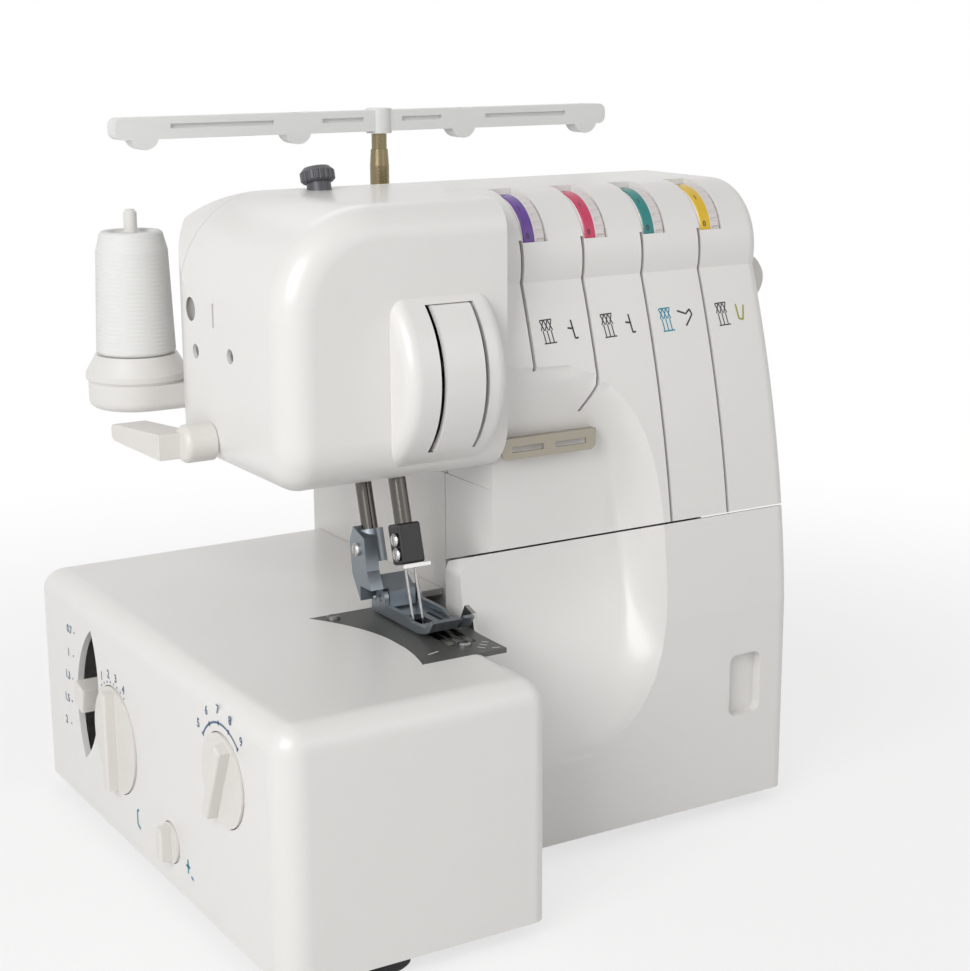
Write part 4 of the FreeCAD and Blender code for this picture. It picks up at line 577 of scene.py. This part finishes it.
hem = middle_of("hem_dial")
hem_line = 1.1 * mm
curl_back, curl_drop = 36.5 * mm, 3.0 * mm
cross_front, cross_drop = 17.2 * mm, 4.0 * mm
curl = [[(-1.0, 4.2), (1.0, 3.0), (1.0, -3.0), (-2.0, -4.2)]]
cross = [[(0, 3), (0, -3)], [(-2, 0), (2, 0)], [(-5, -4), (-3, -3.4)]]
hem_marks = shifted(curl, hem.y + curl_back, hem.z - curl_drop)
hem_marks += shifted(cross, hem.y - cross_front, hem.z - cross_drop)
strokes("hem_scale", hem_marks, hem_line, on_left, left, blue_ink, "machine")

# Print on the needle plate: short white guide lines beside the foot,
# where the cloth runs in, painted on the steel.
chalk = surface("white print", (0.72, 0.73, 0.73), 0.6)
guide_line = 0.7 * mm
guide_lift = 0.08 * mm
plate_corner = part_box("needle_plate")[1]
plate_print = plate_corner.z + guide_lift
guides = [[(-31.0, -68.0), (-25.5, -66.5)], [(-9.5, -70.0), (-7.5, -72.5)], [(-7.0, -67.5), (-5.0, -70.0)],
          [(-5.0, -74.0), (-2.0, -75.0)], [(-4.5, -65.0), (-2.5, -67.0)]]


def on_plate(u, v):
    return Vector((u, v, plate_print))


plate_marks = shifted(guides, plate_corner.x, plate_corner.y)
strokes("plate_marks", plate_marks, guide_line, on_plate, Vector((0, 0, 1)), chalk, "machine")

# Floor: a pale matt sheet that fades into the white surround, as in a studio.
# The camera sees it brighter than it lights the machine, so that only a soft shadow is left.
floor_size = 8.0
shadow_share = 0.30
fade_start, fade_end = 0.22, 0.75
floor_mesh = bmesh.new()
bmesh.ops.create_grid(floor_mesh, x_segments=1, y_segments=1, size=floor_size)
floor_data = bpy.data.meshes.new("floor")
floor_mesh.to_mesh(floor_data)
floor_mesh.free()
floor = bpy.data.objects.new("floor", floor_data)
bpy.context.collection.objects.link(floor)


def seen_directly(value):
    """1 for rays from the camera, from a mirror or through glass, and 0 for the rays that carry light."""
    path = [value.make("ShaderNodeLightPath", None, None, output)
            for output in ("Is Camera Ray", "Is Glossy Ray", "Is Transmission Ray")]
    return value.both("MAXIMUM", path[0] + path[1], path[2])


pale = surface("pale floor", (0.84, 0.84, 0.84), 0.9)
floor_data.materials.append(pale)
spot, _ = places(pale)
distance = spot.make("ShaderNodeVectorMath", {"operation": "LENGTH"}, {0: spot}, "Value")
fade = spot.make("ShaderNodeMapRange", {"interpolation_type": "SMOOTHSTEP"},
                 {"Value": distance, "From Min": fade_start, "From Max": fade_end})
white_light = spot.make("ShaderNodeEmission", None, {"Color": (1, 1, 1, 1), "Strength": 1.0})
lit = Value(pale.node_tree, pale.node_tree.nodes["Principled BSDF"].outputs[0])
share = seen_directly(spot) * (1 - shadow_share + fade * shadow_share)
blended = spot.make("ShaderNodeMixShader", None, {0: share, 1: lit, 2: white_light})
pale.node_tree.links.new(blended.socket, pale.node_tree.nodes["Material Output"].inputs["Surface"])

# Surround: a white room all round, which the camera sees at full white
# and which lights the machine more softly.
surround_strength = 0.40
world = bpy.data.worlds.new("surround")
bpy.context.scene.world = world
world.use_nodes = True
soft = world.node_tree.nodes["Background"]
soft.inputs["Color"].default_value = (1.0, 0.995, 0.985, 1)
soft.inputs["Strength"].default_value = surround_strength
soft_light = Value(world.node_tree, soft.outputs[0])
shown = soft_light.make("ShaderNodeBackground", None, {"Color": (1, 1, 1, 1), "Strength": 1.0})
surround = soft_light.make("ShaderNodeMixShader", None,
                           {0: seen_directly(soft_light), 1: soft_light, 2: shown})
world.node_tree.links.new(surround.socket, world.node_tree.nodes["World Output"].inputs["Surface"])

# Lamps: three square soft lamps that point at the middle of the machine,
# the strong one at the front left, as the photograph's shading shows.
lamp_size = 1.0
lamp_aim = Vector((0, 0, 0.14))
lamps = (("key", (-1.3, -0.75, 0.95), 16.5), ("fill", (0.7, -1.5, 0.9), 2.6), ("back", (0.3, 1.3, 1.5), 3.0))
for name, place, power in lamps:
    lamp_data = bpy.data.lights.new(name, "AREA")
    lamp_data.size = lamp_size
    lamp_data.energy = power
    lamp = bpy.data.objects.new(name, lamp_data)
    lamp.location = place
    lamp.rotation_euler = (lamp_aim - Vector(place)).to_track_quat("-Z", "Y").to_euler()
    bpy.context.collection.objects.link(lamp)

# Camera: where the photograph was taken from, found from the machine's straight edges.
# Its angles are in degrees: tipped down, rolled and turned to the right.
camera_down, camera_roll, camera_turn = 13.57, 0.25, 31.29
camera_data = bpy.data.cameras.new("camera")
camera_data.lens = 71.18
camera_data.sensor_width = 36
camera = bpy.data.objects.new("camera", camera_data)
camera.location = (-0.4211, -0.7099, 0.3505)
camera.rotation_euler = Euler((math.radians(90 - camera_down), math.radians(camera_roll),
                               math.radians(-camera_turn)))
bpy.context.collection.objects.link(camera)
bpy.context.scene.camera = camera
bpy.context.scene.view_settings.view_transform = "Standard"
